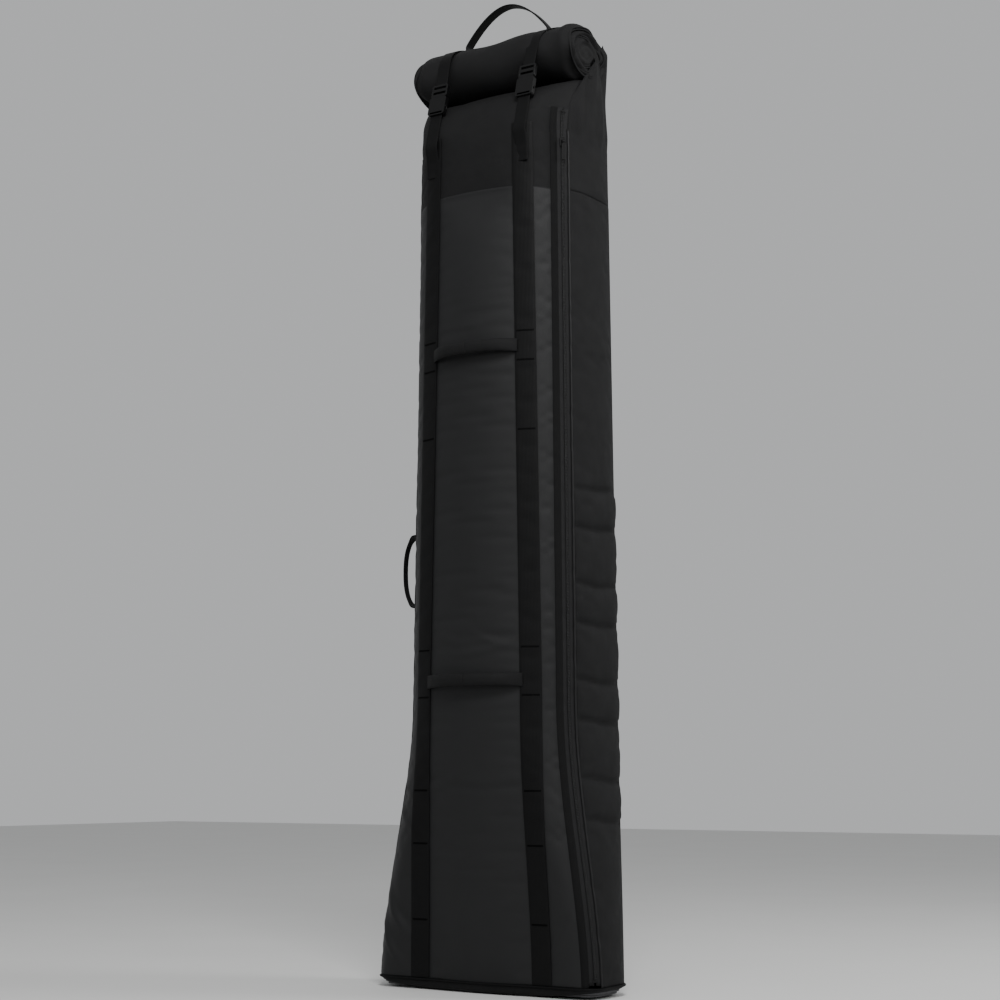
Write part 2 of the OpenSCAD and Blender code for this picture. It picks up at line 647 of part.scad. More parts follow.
// ---- Grab handles across the front -------------------------------------------------
// Seen from above, the band bows out from the skin between the two webbings
function grab_end(z) = web_l(z) - wide_web / 2 - 2;
function bow(x, z) = 1 - pow(abs(x) / grab_end(z), 4);
function grab_thin(x, z) = grab_t - (grab_t - 3) * (1 - bow(x, z));
function grab_y(x, z, o) = spot(z, x, 0)[1] - 0.6 - grab_room * bow(x, z) - o * grab_thin(x, z);
// Outline of the band between x0 and x1, with its wall drawn in by inset
function band_outline(x0, x1, z, inset) = concat(
    [for (x = steps(x0, x1, 8)) [x, grab_y(x, z, 0) - inset]],
    [for (x = steps(x1, x0, 8)) [x, grab_y(x, z, 1) + inset]]);
module band(x0, x1, z, inset, high) {
    translate([0, 0, z - high / 2])
        linear_extrude(high)
            polygon(band_outline(x0, x1, z, inset));
}
module grab_ends(z) {
    for (side = [-1, 1])
        band(side * (grab_half + 1), side * grab_end(z), z, 0, grab_w);
}
module grab_sleeve(z) {
    difference() {
        band(-grab_half, grab_half, z, 0, grab_w);
        band(-grab_half + sleeve, grab_half - sleeve, z, sleeve, grab_w - 2 * sleeve);
    }
}
module grab_core(z) {
    gap = sleeve + 0.5;
    band(-grab_half + gap, grab_half - gap, z, gap, grab_w - 2 * gap);
}
module upper_grab_ends() { color(CANVAS) grab_ends(high_grab_h); }
module upper_grab_sleeve() { color(CANVAS) grab_sleeve(high_grab_h); }
module upper_grab_core() { color(FOAM) grab_core(high_grab_h); }
module lower_grab_ends() { color(CANVAS) grab_ends(low_grab_h); }
module lower_grab_sleeve() { color(CANVAS) grab_sleeve(low_grab_h); }
module lower_grab_core() { color(FOAM) grab_core(low_grab_h); }

// ---- Side handle -------------------------------------------------------------------
// An arch of webbing on the left side, sewn down above and below
side_x = wide(side_h) / 2;
side_pad = 24;
// The sewn ends lie this far out of the wall
side_out = 1;
loop_foot = 10;
// An arch between two ends, from foot to rise, as a band of thickness loop_t
// The bend and the root make it full, like the stiff side handle, or slack, like the haul handle
FULL = [2.4, 0.5];
SLACK = [1.9, 1];
function arch(half, foot, rise, form, t) =
    [half * t, foot + (rise - foot) * pow(max(1 - pow(abs(t), form[0]), 0), form[1])];
function arch_outline(half, foot, rise, form) = concat(
    [for (t = steps(-1, 1, 24)) arch(half, foot, rise, form, t)],
    [for (t = steps(1, -1, 24)) arch(half - loop_t, foot, rise - loop_t, form, t)]);
stub_w = 6;
stub_gap = 3;
// A sewn end: a pad flat on the cloth from x = 0 outwards, and a narrow stub up under the arch's foot
module sewn_end(pad, w, rise) {
    translate([0.5, -w / 2, 0])
        cube([pad, w, loop_t]);
    translate([-loop_t, -stub_w / 2, 0])
        cube([loop_t + 1, stub_w, rise]);
}
module side_handle_ends() {
    color(WEB)
        for (end = [-1, 1]) {
            wall_x = wide(side_h + end * side_span / 2) / 2 + side_out;
            translate([-wall_x, side_y, side_h + end * side_span / 2])
                rotate([0, -90, 0])
                    mirror([end < 0 ? 1 : 0, 0, 0])
                        sewn_end(side_pad, narrow_web, side_x + loop_foot - stub_gap - wall_x);
        }
}
module side_handle_loop() {
    color(WEB)
        translate([-side_x, side_y + narrow_web / 2, side_h])
            rotate([90, -90, 0])
                linear_extrude(narrow_web)
                    polygon(arch_outline(side_span / 2, loop_foot, side_rise, FULL));
}

// ---- Haul handle over the roll -----------------------------------------------------
roll_top_z = roll_z + roll_h / 2;
// The handle's feet stand this far inside the straps
foot_gap = 4;
haul_half = web_top + spread(roll_y) - narrow_web / 2 - splay * haul_w / 2 - foot_gap;
haul_pad = 40;
module haul_handle_ends() {
    color(WEB)
        for (side = [-1, 1])
            mirror([side < 0 ? 1 : 0, 0, 0])
                translate([haul_half, roll_y, roll_top_z + 0.4])
                    sewn_end(haul_pad, haul_w, loop_foot - stub_gap);
}
module haul_handle_loop() {
    color(WEB)
        translate([0, roll_y + haul_w / 2, roll_top_z])
            rotate([90, 0, 0])
                linear_extrude(haul_w)
                    polygon(arch_outline(haul_half, loop_foot, haul_rise, SLACK));
}

// ---- Roll --------------------------------------------------------------------------
// The rolled cloth is one long strip, wound inwards from the underside of the roll
// Each turn keeps to one oval and steps in under the next over its last quarter.
function turn_in_step(t) = floor(t / 360) + ease((t - 360 * floor(t / 360) - 270) / 90);
function coil_spot(t, o) = let (shrink = (ply + turn_gap) * turn_in_step(t) + o)
    [roll_y + (roll_d / 2 - shrink) * sin(t), roll_z - (roll_h / 2 - shrink) * cos(t)];
module roll_top() {
    turn_steps = steps(0, 360 * turns, round(turns * 20));
    outline = concat([for (t = turn_steps) coil_spot(t, 0)],
        [for (k = [len(turn_steps) - 1 : -1 : 0]) coil_spot(turn_steps[k], ply)]);
    color(CANVAS)
        translate([-roll_len / 2, 0, 0])
            rotate([90, 0, 90])
                linear_extrude(roll_len)
                    polygon(outline);
}
module roll_stiffener() {
    color(PLASTIC)
        translate([-roll_len / 2 + 8, roll_y - stiff_w / 2, roll_z - stiff_t / 2])
            cube([roll_len - 16, stiff_w, stiff_t]);
}

front_panel();
front_collar();
back_panel();
back_collar();
left_side_panel();
right_side_panel();
left_gusset();
right_gusset();
base_panel();
base_edge();
base_board();
base_pad();
lining();
lining_floor();
front_foam();
back_foam();
left_ribs();
right_ribs();
zip_front_tape();
zip_side_tape();
zip_coil();
zip_binding();
zip_stops();
zip_slider();
zip_pull();
left_piping();
right_piping();
base_piping();
left_front_webbing();
right_front_webbing();
left_back_webbing();
right_back_webbing();
bartacks();
left_lower_strap();
right_lower_strap();
left_closure_strap();
right_closure_strap();
left_buckle_socket();
right_buckle_socket();
left_buckle_plug();
right_buckle_plug();
left_buckle_left_prong();
left_buckle_right_prong();
right_buckle_left_prong();
right_buckle_right_prong();
upper_grab_ends();
upper_grab_sleeve();
upper_grab_core();
lower_grab_ends();
lower_grab_sleeve();
lower_grab_core();
side_handle_ends();
side_handle_loop();
haul_handle_ends();
haul_handle_loop();
roll_top();
roll_stiffener();
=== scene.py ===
# Padded roll-top ski bag, standing on its base.
# It faces -Y, +X is on the right of its front and +Z is up. Lengths are in metres.
import math

import bmesh
import bpy
import numpy as np
from mathutils import Matrix, Vector


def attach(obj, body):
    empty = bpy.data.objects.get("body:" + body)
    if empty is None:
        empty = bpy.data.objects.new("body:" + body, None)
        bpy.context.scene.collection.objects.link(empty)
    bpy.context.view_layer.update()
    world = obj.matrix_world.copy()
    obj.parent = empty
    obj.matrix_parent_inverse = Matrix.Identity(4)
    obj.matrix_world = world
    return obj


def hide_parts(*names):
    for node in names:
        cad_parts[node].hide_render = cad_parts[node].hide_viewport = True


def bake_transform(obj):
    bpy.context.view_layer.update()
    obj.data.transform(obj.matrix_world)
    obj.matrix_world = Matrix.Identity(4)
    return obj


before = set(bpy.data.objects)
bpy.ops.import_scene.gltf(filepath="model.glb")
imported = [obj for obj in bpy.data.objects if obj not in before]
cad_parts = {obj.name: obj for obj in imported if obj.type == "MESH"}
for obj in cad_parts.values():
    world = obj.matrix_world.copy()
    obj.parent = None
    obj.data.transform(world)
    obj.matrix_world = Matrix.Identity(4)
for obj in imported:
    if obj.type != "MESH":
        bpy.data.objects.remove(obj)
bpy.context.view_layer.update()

# ---- Cloth of the body ---------------------------------------------------------------
# The outer cloth goes round the bag as one tube over its foam. It is held down along the
# zip, the webbing, the back seams and the quilting, and the foam swells it in between.
BASE_WIDE, BASE_DEEP, BASE_FRONT_R, BASE_BACK_R = 0.450, 0.140, 0.034, 0.058
BODY_WIDE, BODY_DEEP, BODY_FRONT_R, BODY_BACK_R = 0.356, 0.240, 0.104, 0.072
TOP_WIDE, TOP_DEEP = 0.336, 0.234
LEAN, FLARE_HIGH, SEAM_HIGH = 0.030, 0.500, 1.392
NECK_LOW, NECK_RISE, NECK_DEEP = 1.500, 0.106, 0.044
ROLL_BACK = 0.022
FOOT_R = 0.018
WIDE_WEB, NARROW_WEB = 0.038, 0.025
SKIN = 0.0012
QUILT_LINES = [0.288 + 0.168 * pair + line for pair in range(4) for line in (0, 0.069)]


def ease(t):
    t = np.clip(t, 0, 1)
    return t * t * (3 - 2 * t)


def mix(a, b, t):
    return a + (b - a) * t


def hill(d, wide):
    """A soft hill, 1 where d is 0, that is gone past about twice its width."""
    return np.exp(-((d / wide) ** 2))


def section(z):
    """Width, depth, middle and the two corner radii of the bag's outline at height z."""
    body = ease(z / FLARE_HIGH)
    top = np.clip((z - FLARE_HIGH) / (NECK_LOW - FLARE_HIGH), 0, 1)
    neck = np.clip((z - NECK_LOW) / NECK_RISE, 0, 1)
    wide = mix(mix(BASE_WIDE, BODY_WIDE, body), TOP_WIDE, top)
    deep = mix(mix(BASE_DEEP, BODY_DEEP, body), TOP_DEEP, top) * np.sqrt(1 - neck**2)
    deep = np.maximum(deep, NECK_DEEP)
    middle = mix(mix(0, LEAN, body), ROLL_BACK, neck)
    front_r = np.minimum(mix(BASE_FRONT_R, BODY_FRONT_R, body), 0.44 * deep)
    back_r = np.minimum(mix(BASE_BACK_R, BODY_BACK_R, body), 0.44 * deep)
    return wide, deep, middle, front_r, back_r


def lengths(z):
    """Lengths along the outline where the flat front, its corner, the side and the back corner end, and half of it."""
    wide, deep, middle, front_r, back_r = section(z)
    flat = wide / 2 - front_r
    corner = flat + front_r * math.pi / 2
    side = corner + deep - front_r - back_r
    back = side + back_r * math.pi / 2
    return flat, corner, side, back, back + wide / 2 - back_r


def outline(z, along, out=0.0):
    """The point at height z, a length along from the middle of the front, and out from the cloth."""
    wide, deep, middle, front_r, back_r = section(z)
    flat, corner, side, back, half = lengths(z)
    along = (along + half) % (2 * half) - half
    length = np.abs(along)
    near, far = middle - deep / 2, middle + deep / 2
    turn, back_turn = (length - flat) / front_r, (length - side) / back_r
    where = [length <= flat, length <= corner, length <= side, length <= back]
    x = np.select(where, [length, wide / 2 - front_r + (front_r + out) * np.sin(turn), wide / 2 + out,
                          wide / 2 - back_r + (back_r + out) * np.cos(back_turn)], wide / 2 - back_r - length + back)
    y = np.select(where, [near - out, near + front_r - (front_r + out) * np.cos(turn), near + front_r + length - corner,
                          far - back_r + (back_r + out) * np.sin(back_turn)], far + out)
    return np.stack([np.where(along < 0, -x, x), y, z + 0 * x], -1)


def zip_line(z):
    return lengths(z)[0] + section(z)[3] * np.radians(52 + 5 * ease(z / FLARE_HIGH))


def back_seam(z):
    return lengths(z)[2] + 0.35 * section(z)[4] * math.pi / 2


def web_line(z):
    body, top = ease(z / FLARE_HIGH), np.clip((z - FLARE_HIGH) / (NECK_LOW - FLARE_HIGH), 0, 1)
    return mix(mix(0.124, 0.112, body), 0.095, top)


def seams(z):
    """Every held line round the bag at height z, from the left end of the front to the left end again."""
    z = np.asarray(z, float)
    web, half, edge = web_line(z), lengths(z)[4], WIDE_WEB / 2
    front = [-zip_line(z), -web - edge, -web + edge, web - edge, web + edge, zip_line(z), back_seam(z)]
    back = [half - web - edge, half - web + edge, half + web - edge, half + web + edge]
    return np.stack(front + back + [2 * half - back_seam(z), 2 * half - zip_line(z)], -1)


# Threads of the cloth net: how many meshes lie between two held lines, and the heights
NET_COUNTS = [5, 4, 19, 4, 5, 17, 5, 4, 19, 4, 5, 17]
NET_START = np.concatenate([[0], np.cumsum(NET_COUNTS)])
AROUND = int(NET_START[-1])
levels = [FOOT_R, *QUILT_LINES, SEAM_HIGH, NECK_LOW]
net_rows = [FOOT_R]
for low, high in zip(levels, levels[1:]):
    count = max(2, round((high - low) / 0.0099))
    net_rows += [mix(low, high, (k + 1) / count) for k in range(count)]
net_rows += [NECK_LOW + NECK_RISE * math.sin(math.radians(88 * (k + 1) / 12)) for k in range(12)]
net_rows = np.array(net_rows)


def knot_lengths(z):
    """The lengths along the outline of the net's knots at heights z."""
    held = seams(z)
    parts = [held[..., k, None] + (held[..., k + 1] - held[..., k])[..., None] * np.arange(n) / n
             for k, n in enumerate(NET_COUNTS)]
    return np.concatenate(parts + [held[..., -1:]], -1)


def swell():
    """The net of the body's cloth, swollen by the padding behind it."""
    rows, columns = len(net_rows), AROUND + 1
    heights = np.repeat(net_rows[:, None], columns, 1)
    flat_net = outline(heights, knot_lengths(net_rows))
    bm = bmesh.new()
    bmesh.ops.create_grid(bm, x_segments=AROUND, y_segments=rows - 1, size=0.5)
    for vert, place in zip(bm.verts, flat_net.reshape(-1, 3)):
        vert.co = place
    mesh = bpy.data.meshes.new("net")
    bm.to_mesh(mesh)
    bm.free()
    net = bpy.data.objects.new("net", mesh)
    bpy.context.scene.collection.objects.link(net)
    hold = np.zeros((rows, columns))
    hold[:, NET_START[[1, 2, 3, 4, 7, 8, 9, 10]]] = 0.85
    hold[:, NET_START[[6, 11]]] = 0.9
    for line in QUILT_LINES:
        row = int(np.argmin(abs(net_rows - line)))
        for first, last in ((5, 6), (11, 12)):
            hold[row, NET_START[first]:NET_START[last] + 1] = 0.8
    hold[int(np.argmin(abs(net_rows - SEAM_HIGH)))] = np.maximum(
        hold[int(np.argmin(abs(net_rows - SEAM_HIGH)))], 0.7)
    hold[:, NET_START[[0, 5, 12]]] = 1
    hold[[0, -1]] = 1
    group = net.vertex_groups.new(name="held")
    for index, weight in enumerate(hold.ravel()):
        if weight > 0:
            group.add([index], float(weight), "REPLACE")
    cloth = net.modifiers.new("Cloth", "CLOTH")
    settings = cloth.settings
    settings.quality = 5
    settings.mass = 0.15
    settings.tension_stiffness = 25
    settings.compression_stiffness = 25
    settings.shear_stiffness = 12
    settings.bending_stiffness = 1.5
    settings.air_damping = 2
    settings.vertex_group_mass = "held"
    settings.shrink_min = -0.002
    settings.use_pressure = True
    settings.uniform_pressure_force = 5
    settings.effector_weights.gravity = 0
    cloth.collision_settings.use_collision = False
    scene = bpy.context.scene
    cloth.point_cache.frame_start, cloth.point_cache.frame_end = 1, 20
    for step in range(1, 21):
        scene.frame_set(step)
    swollen = net.evaluated_get(bpy.context.evaluated_depsgraph_get()).to_mesh()
    places = np.zeros(len(swollen.vertices) * 3)
    swollen.vertices.foreach_get("co", places)
    scene.frame_set(1)
    bpy.data.objects.remove(net)
    bpy.data.meshes.remove(mesh)
    moved = places.reshape(rows, columns, 3) - flat_net
    far = np.linalg.norm(moved, axis=-1, keepdims=True)
    return flat_net + moved * np.minimum(1, 0.011 / np.maximum(far, 1e-9))


def net_normals(net):
    around = np.roll(net[:, :-1], -1, 1) - np.roll(net[:, :-1], 1, 1)
    up = np.gradient(net[:, :-1], axis=0)
    normal = np.cross(around, up)
    return normal / np.linalg.norm(normal, axis=-1, keepdims=True)


cloth_net = swell()
cloth_out = net_normals(cloth_net)


def through(values, row, column):
    """Values of the net at a height and place between its knots, on smooth curves through them."""
    def weights(t):
        return np.stack([-0.5 * t + t**2 - 0.5 * t**3, 1 - 2.5 * t**2 + 1.5 * t**3,
                         0.5 * t + 2 * t**2 - 1.5 * t**3, -0.5 * t**2 + 0.5 * t**3], -1)
    r, c = np.floor(row).astype(int), np.floor(column).astype(int)
    wr, wc = weights(row - r), weights(column - c)
    total = 0
    for i in range(4):
        for j in range(4):
            near = values[np.clip(r + i - 1, 0, len(values) - 1), (c + j - 1) % AROUND]
            total = total + near * (wr[:, i] * wc[:, j])[:, None]
    return total


def relief(z, along):
    """Height of the small folds that the sewing leaves in the cloth."""
    half = lengths(z)[4]
    along = (along + zip_line(z)) % (2 * half) - zip_line(z)
    across = np.where(along > half, along - 2 * half, along)
    high = 0 * z
    # quilting on the side walls, drawn in along each line
    side = ease((np.abs(across) - zip_line(z) - 0.012) / 0.010) * ease((back_seam(z) - np.abs(across)) / 0.012)
    bend = 0.004 * np.sin(across * 30 + z * 5)
    for line in QUILT_LINES:
        high -= 0.0042 * hill(z - line - bend, 0.0048) * side
    for low, upper in zip(QUILT_LINES, QUILT_LINES[1:]):
        share = np.clip((z - bend - low) / (upper - low), 0, 1)
        high += 0.0038 * np.sin(math.pi * share) ** 0.7 * side
    # puckers along the zip and the left piping, and beside the webbing
    for place, deep, wave in ((zip_line(z) + 0.020, 0.0003, 0.034), (-zip_line(z) + 0.010, 0.0006, 0.052),
                              (-zip_line(z) - 0.020, 0.0008, 0.047)):
        ripple = np.sin(2 * math.pi * z / wave + 2.1 * np.sin(z * 17) + along * 40)
        high += deep * hill(along - place, 0.013) * ripple * (0.6 + 0.4 * np.sin(z * 9 + 1))
    for hand, edge, start in ((-1, -0.026, 0.4), (-1, 0.026, 2.2), (1, -0.026, 4.1), (1, 0.026, 5.3)):
        ripple = np.sin(2 * math.pi * z / 0.063 + 3 * np.sin(z * 11 + start))
        high += 0.0002 * hill(across - hand * web_line(z) - edge, 0.012) * ripple
    # the front's padding stands out between its two bands of webbing
    front = np.clip(1 - (across / (web_line(z) - WIDE_WEB / 2)) ** 2, 0, 1) * ease((SEAM_HIGH - z) / 0.08)
    high += 0.0065 * front
    # creases: middle along, height, half length, half width, slope and depth
    for middle, level, long, thin, slope, deep in CREASES:
        turned_along = (across - middle) * math.cos(slope) + (z - level) * math.sin(slope)
        turned_up = (z - level) * math.cos(slope) - (across - middle) * math.sin(slope)
        curve = turned_up - 0.12 * turned_along**2 / long
        high += deep * hill(turned_along, long) * (hill(curve, thin) - 0.5 * hill(curve - 1.9 * thin, 1.3 * thin))
    return high


CREASES = [
    (0.005, 0.575, 0.070, 0.0060, 0.10, 0.0014), (0.045, 0.592, 0.050, 0.0055, -0.30, 0.0012),
    (-0.045, 0.598, 0.040, 0.0060, -0.45, 0.0010), (0.000, 0.486, 0.075, 0.0070, -0.08, 0.0010),
    (-0.010, 0.345, 0.080, 0.0065, -0.10, -0.0016), (-0.060, 0.352, 0.050, 0.0065, 0.30, 0.0012),
    (0.020, 1.062, 0.060, 0.0065, -0.12, -0.0010), (0.000, 1.152, 0.060, 0.0065, 0.10, 0.0010),
    (-0.172, 0.335, 0.030, 0.0065, -0.6, -0.0026), (-0.168, 0.300, 0.030, 0.0065, -0.8, 0.0022),
    (-0.180, 0.128, 0.045, 0.0075, -1.0, 0.0034), (-0.196, 0.080, 0.048, 0.0075, -1.0, 0.0036),
    (-0.165, 0.640, 0.030, 0.0080, 0.6, 0.0012), (0.172, 0.110, 0.050, 0.0090, 1.1, 0.0010),
    (-0.070, 0.230, 0.060, 0.0090, -0.5, 0.0007), (0.060, 0.150, 0.060, 0.0090, 0.5, 0.0006),
]


def on_cloth(z, along, out=0.0):
    """The point of the swollen cloth at height z, a length along from the middle of the front, and out from it."""
    z, along, out = np.broadcast_arrays(np.asarray(z, float), along, out)
    shape = z.shape
    z, along, out = z.ravel(), along.ravel(), out.ravel()
    held, half = seams(z), lengths(z)[4]
    inside = (along - held[:, 0]) % (2 * half) + held[:, 0]
    part = np.clip((inside[:, None] >= held[:, 1:]).sum(1), 0, len(NET_COUNTS) - 1)
    pick = np.arange(len(z))
    first, last = held[pick, part], held[pick, part + 1]
    column = NET_START[part] + (inside - first) / (last - first) * np.array(NET_COUNTS)[part]
    row = np.interp(z, net_rows, np.arange(len(net_rows)))
    place = through(cloth_net, row, column)
    facing = through(cloth_out, row, column)
    facing /= np.linalg.norm(facing, axis=-1, keepdims=True)
    place = place + facing * (out + relief(z, along))[:, None]
    return place.reshape(*shape, 3)


def make_piece(name, bm, finish, body="bag", smooth=True, solid=0.0, bevel=0.0, rounds=0):
    """A finished mesh as a piece that rides on a body, with its cloth thickness and rounded edges."""
    mesh = bpy.data.meshes.new(name)
    bm.to_mesh(mesh)
    bm.free()
    mesh.polygons.foreach_set("use_smooth", [smooth] * len(mesh.polygons))
    piece = bpy.data.objects.new(name, mesh)
    bpy.context.scene.collection.objects.link(piece)
    mesh.materials.append(finish)
    if solid:
        cloth = piece.modifiers.new("Thickness", "SOLIDIFY")
        cloth.thickness, cloth.offset, cloth.use_even_offset = solid, -1, False
    if bevel:
        edges = piece.modifiers.new("Edges", "BEVEL")
        edges.width, edges.segments, edges.limit_method = bevel, 2, "ANGLE"
        edges.angle_limit = math.radians(50)
    if rounds:
        smooth_on = piece.modifiers.new("Smooth", "SUBSURF")
        smooth_on.levels = smooth_on.render_levels = rounds
    if body:
        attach(piece, body)
    return piece


def flat_marks(bm):
    """Keeps the flat pattern, across and along, in metres, as the piece's UV map."""
    layer = bm.loops.layers.uv.new("pattern")
    for face in bm.faces:
        for loop in face.loops:
            loop[layer].uv = (loop.vert.co.x, loop.vert.co.z)


def lay(verts, line):
    """Lays flat work, across x, out of the cloth -y and up z, along a line of the body."""
    flat = np.array([vert.co for vert in verts])
    for vert, place in zip(verts, on_cloth(flat[:, 2], line(flat[:, 2]) + flat[:, 0], -flat[:, 1])):
        vert.co = place


def panel_work(low, high, left, right, step, out=0.0):
    """A flat panel between two lines and two heights, laid on the body."""
    bm = bmesh.new()
    middle = (low(0.5) + high(0.5)) / 2
    across = max(2, round(float(right(np.array([middle]))[0] - left(np.array([middle]))[0]) / step))
    bmesh.ops.create_grid(bm, x_segments=across, y_segments=round((high(0.5) - low(0.5)) / step), size=0.5)
    grid = np.array([vert.co for vert in bm.verts])
    share, rise = grid[:, 0] + 0.5, grid[:, 1] + 0.5
    z = mix(low(share), high(share), rise)
    along = mix(left(z), right(z), share)
    for vert, x, up in zip(bm.verts, along, z):
        vert.co = (x, 0, up)
    flat_marks(bm)
    for vert, place in zip(bm.verts, on_cloth(z, along, out)):
        vert.co = place
    return bm


class Wire:
    """A value in a material. The signs of arithmetic add its Math nodes."""

    def __init__(self, finish, socket):
        self.finish, self.socket = finish, socket

    def math(self, operation, first, second=None):
        values = {0: first} if second is None else {0: first, 1: second}
        return self.finish.node("Math", {"operation": operation}, values)

    def __add__(self, other):
        return self.math("ADD", self, other)

    def __radd__(self, other):
        return self.math("ADD", other, self)

    def __sub__(self, other):
        return self.math("SUBTRACT", self, other)

    def __rsub__(self, other):
        return self.math("SUBTRACT", other, self)

    def __mul__(self, other):
        return self.math("MULTIPLY", self, other)

    def __rmul__(self, other):
        return self.math("MULTIPLY", other, self)

    def __truediv__(self, other):
        return self.math("DIVIDE", self, other)

    def __pow__(self, other):
        return self.math("POWER", self, other)

    def __gt__(self, other):
        return self.math("GREATER_THAN", self, other)

    def __lt__(self, other):
        return self.math("LESS_THAN", self, other)

    def sine(self):
        return self.math("SINE", self)

    def absolute(self):
        return self.math("ABSOLUTE", self)

    def remainder(self, step):
        return self.math("PINGPONG", self, step)


class Finish:
    """A material made of nodes around one Principled shader."""

    def __init__(self, name, color, roughness, **constants):
        self.material = bpy.data.materials.new(name)
        self.material.use_nodes = True
        self.tree = self.material.node_tree
        self.shader = self.tree.nodes["Principled BSDF"]
        self.set("Base Color", (*color, 1))
        self.set("Roughness", roughness)
        for socket, value in constants.items():
            self.set(socket.replace("_", " "), value)

    def node(self, kind, settings=None, values=None, out=0):
        made = self.tree.nodes.new("ShaderNode" + kind)
        for key, value in (settings or {}).items():
            if key == "stops":
                while len(made.color_ramp.elements) < len(value):
                    made.color_ramp.elements.new(0.5)
                for stop, (place, grey) in zip(made.color_ramp.elements, value):
                    stop.position, stop.color = place, (grey, grey, grey, 1)
            else:
                setattr(made, key, value)
        for socket, value in (values or {}).items():
            if isinstance(value, Wire):
                self.tree.links.new(value.socket, made.inputs[socket])
            else:
                made.inputs[socket].default_value = value
        return Wire(self, made.outputs[out])

    def set(self, socket, value):
        if isinstance(value, Wire):
            self.tree.links.new(value.socket, self.shader.inputs[socket])
        else:
            self.shader.inputs[socket].default_value = value

    def place(self):
        """Object coordinates, in metres."""
        return self.node("TexCoord", out=3)

    def pattern(self):
        """The flat pattern's across and along, in metres."""
        both = self.node("UVMap", {"uv_map": "pattern"})
        return (self.node("SeparateXYZ", values={0: both}, out=0), self.node("SeparateXYZ", values={0: both}, out=1))

    def noise(self, scale, detail=3.0, at=None, rough=0.5):
        return self.node("TexNoise", values={"Vector": at or self.place(), "Scale": scale, "Detail": detail,
                                             "Roughness": rough})

    def stretch(self, scale):
        return self.node("Mapping", values={"Vector": self.place(), "Scale": scale})

    def shade(self, amount, dark, light):
        """A colour between two, by a value from 0 to 1."""
        ramp = self.node("Mix", {"data_type": "RGBA"}, {0: amount, 6: (*dark, 1), 7: (*light, 1)}, out=2)
        self.set("Base Color", ramp)

    def bump(self, height, distance, strength=1.0):
        self.set("Normal", self.node("Bump", values={"Height": height, "Distance": distance, "Strength": strength}))


def weave(finish, across, along, pitch):
    """Height of a plain weave: threads of two directions that go over and under each other."""
    x, y = across * (math.pi / pitch), along * (math.pi / pitch)
    over = (x.sine() * y.sine()) > 0
    return over * x.sine().absolute() + (1 - over) * y.sine().absolute()


# Coated cloth: a smooth coating over a fine weave, slightly streaked where it was folded
coated = Finish("coated cloth", (0.009, 0.0091, 0.0095), 0.5, **{"Specular IOR Level": 0.20})
across, along = coated.pattern()
streaks = coated.noise(9, 4, coated.stretch((2.2, 2.2, 0.35)))
grain = coated.noise(900, 2)
coated.shade(coated.noise(14, 5) * 0.4 + streaks * 0.6, (0.0085, 0.0086, 0.0090), (0.0120, 0.0122, 0.0127))
coated.set("Roughness", 0.48 + streaks * 0.08 + grain * 0.05)
coated.bump(weave(coated, across, along, 0.0011) * 0.35 + grain * 0.5 + coated.noise(60, 3) * 0.6, 0.00022)

# Matt nylon of the sides, the back, the collar and the roll
nylon = Finish("nylon", (0.0045, 0.0045, 0.0048), 0.72, **{"Specular IOR Level": 0.17})
across, along = nylon.pattern()
cloudy = nylon.noise(22, 5)
nylon.shade(cloudy * 0.7 + nylon.noise(1400, 1) * 0.3, (0.0040, 0.0040, 0.0042), (0.0072, 0.0072, 0.0076))
nylon.set("Roughness", 0.62 + nylon.noise(35, 3) * 0.2)
nylon.bump(weave(nylon, across, along, 0.0014) + nylon.noise(90, 3) * 2.5, 0.00020)


# ---- Front panel ---------------------------------------------------------------------
# One piece of coated cloth from the base to the seam under the collar. Its right edge is
# bound beside the zip, and its left edge is sewn into the side wall with the piping.
BAND_IN, PIPE_AT, WALL_AT = 0.012, 0.0105, 0.0125


def seam_level(share):
    return SEAM_HIGH + 0.012 * (1 - (2 * share - 1) ** 2) - 0.002


def wall_low(share):
    return FOOT_R + 0.0005 + 0 * share


front_work = panel_work(wall_low, seam_level, lambda z: -zip_line(z) - WALL_AT, lambda z: zip_line(z) - BAND_IN, 0.0042)
front_panel = make_piece("front_panel_cloth", front_work, coated.material, solid=SKIN)
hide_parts("front_panel")


# ---- Sides, back and collar ----------------------------------------------------------
# Matt nylon: two quilted side walls, a plain back, and the collar above them, which closes
# towards the roll. The walls meet in turned seams behind the side walls.
def side_left(z):
    return -back_seam(z)


walls = {
    "right_side_wall": ("right_side_panel", lambda z: zip_line(z) + WALL_AT, back_seam, 0.0055, (0.145, 1.375)),
    "left_side_wall": ("left_side_panel", side_left, lambda z: -zip_line(z) - WALL_AT, 0.0055, (0.145, 1.375)),
    "back_wall": ("back_panel", back_seam, lambda z: 2 * lengths(z)[4] - back_seam(z), 0.007, (0.37, 1.375)),
}
for name, (node, left, right, step, cut) in walls.items():
    work = panel_work(wall_low, lambda share: SEAM_HIGH + 0 * share, left, right, step)
    wall = make_piece(name, work, nylon.material, solid=SKIN)
    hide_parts(node)

COLLAR_TOP = NECK_LOW + NECK_RISE * math.sin(math.radians(88))
ZIP_LOW, ZIP_TOP = 0.024, 1.5424


def collar_edge(z):
    """The front collar's right edge: beside the zip, and across to the gusset above the zip's end."""
    return zip_line(z) - BAND_IN + (BAND_IN + WALL_AT + 0.001) * ease((z - ZIP_TOP + 0.006) / 0.005)


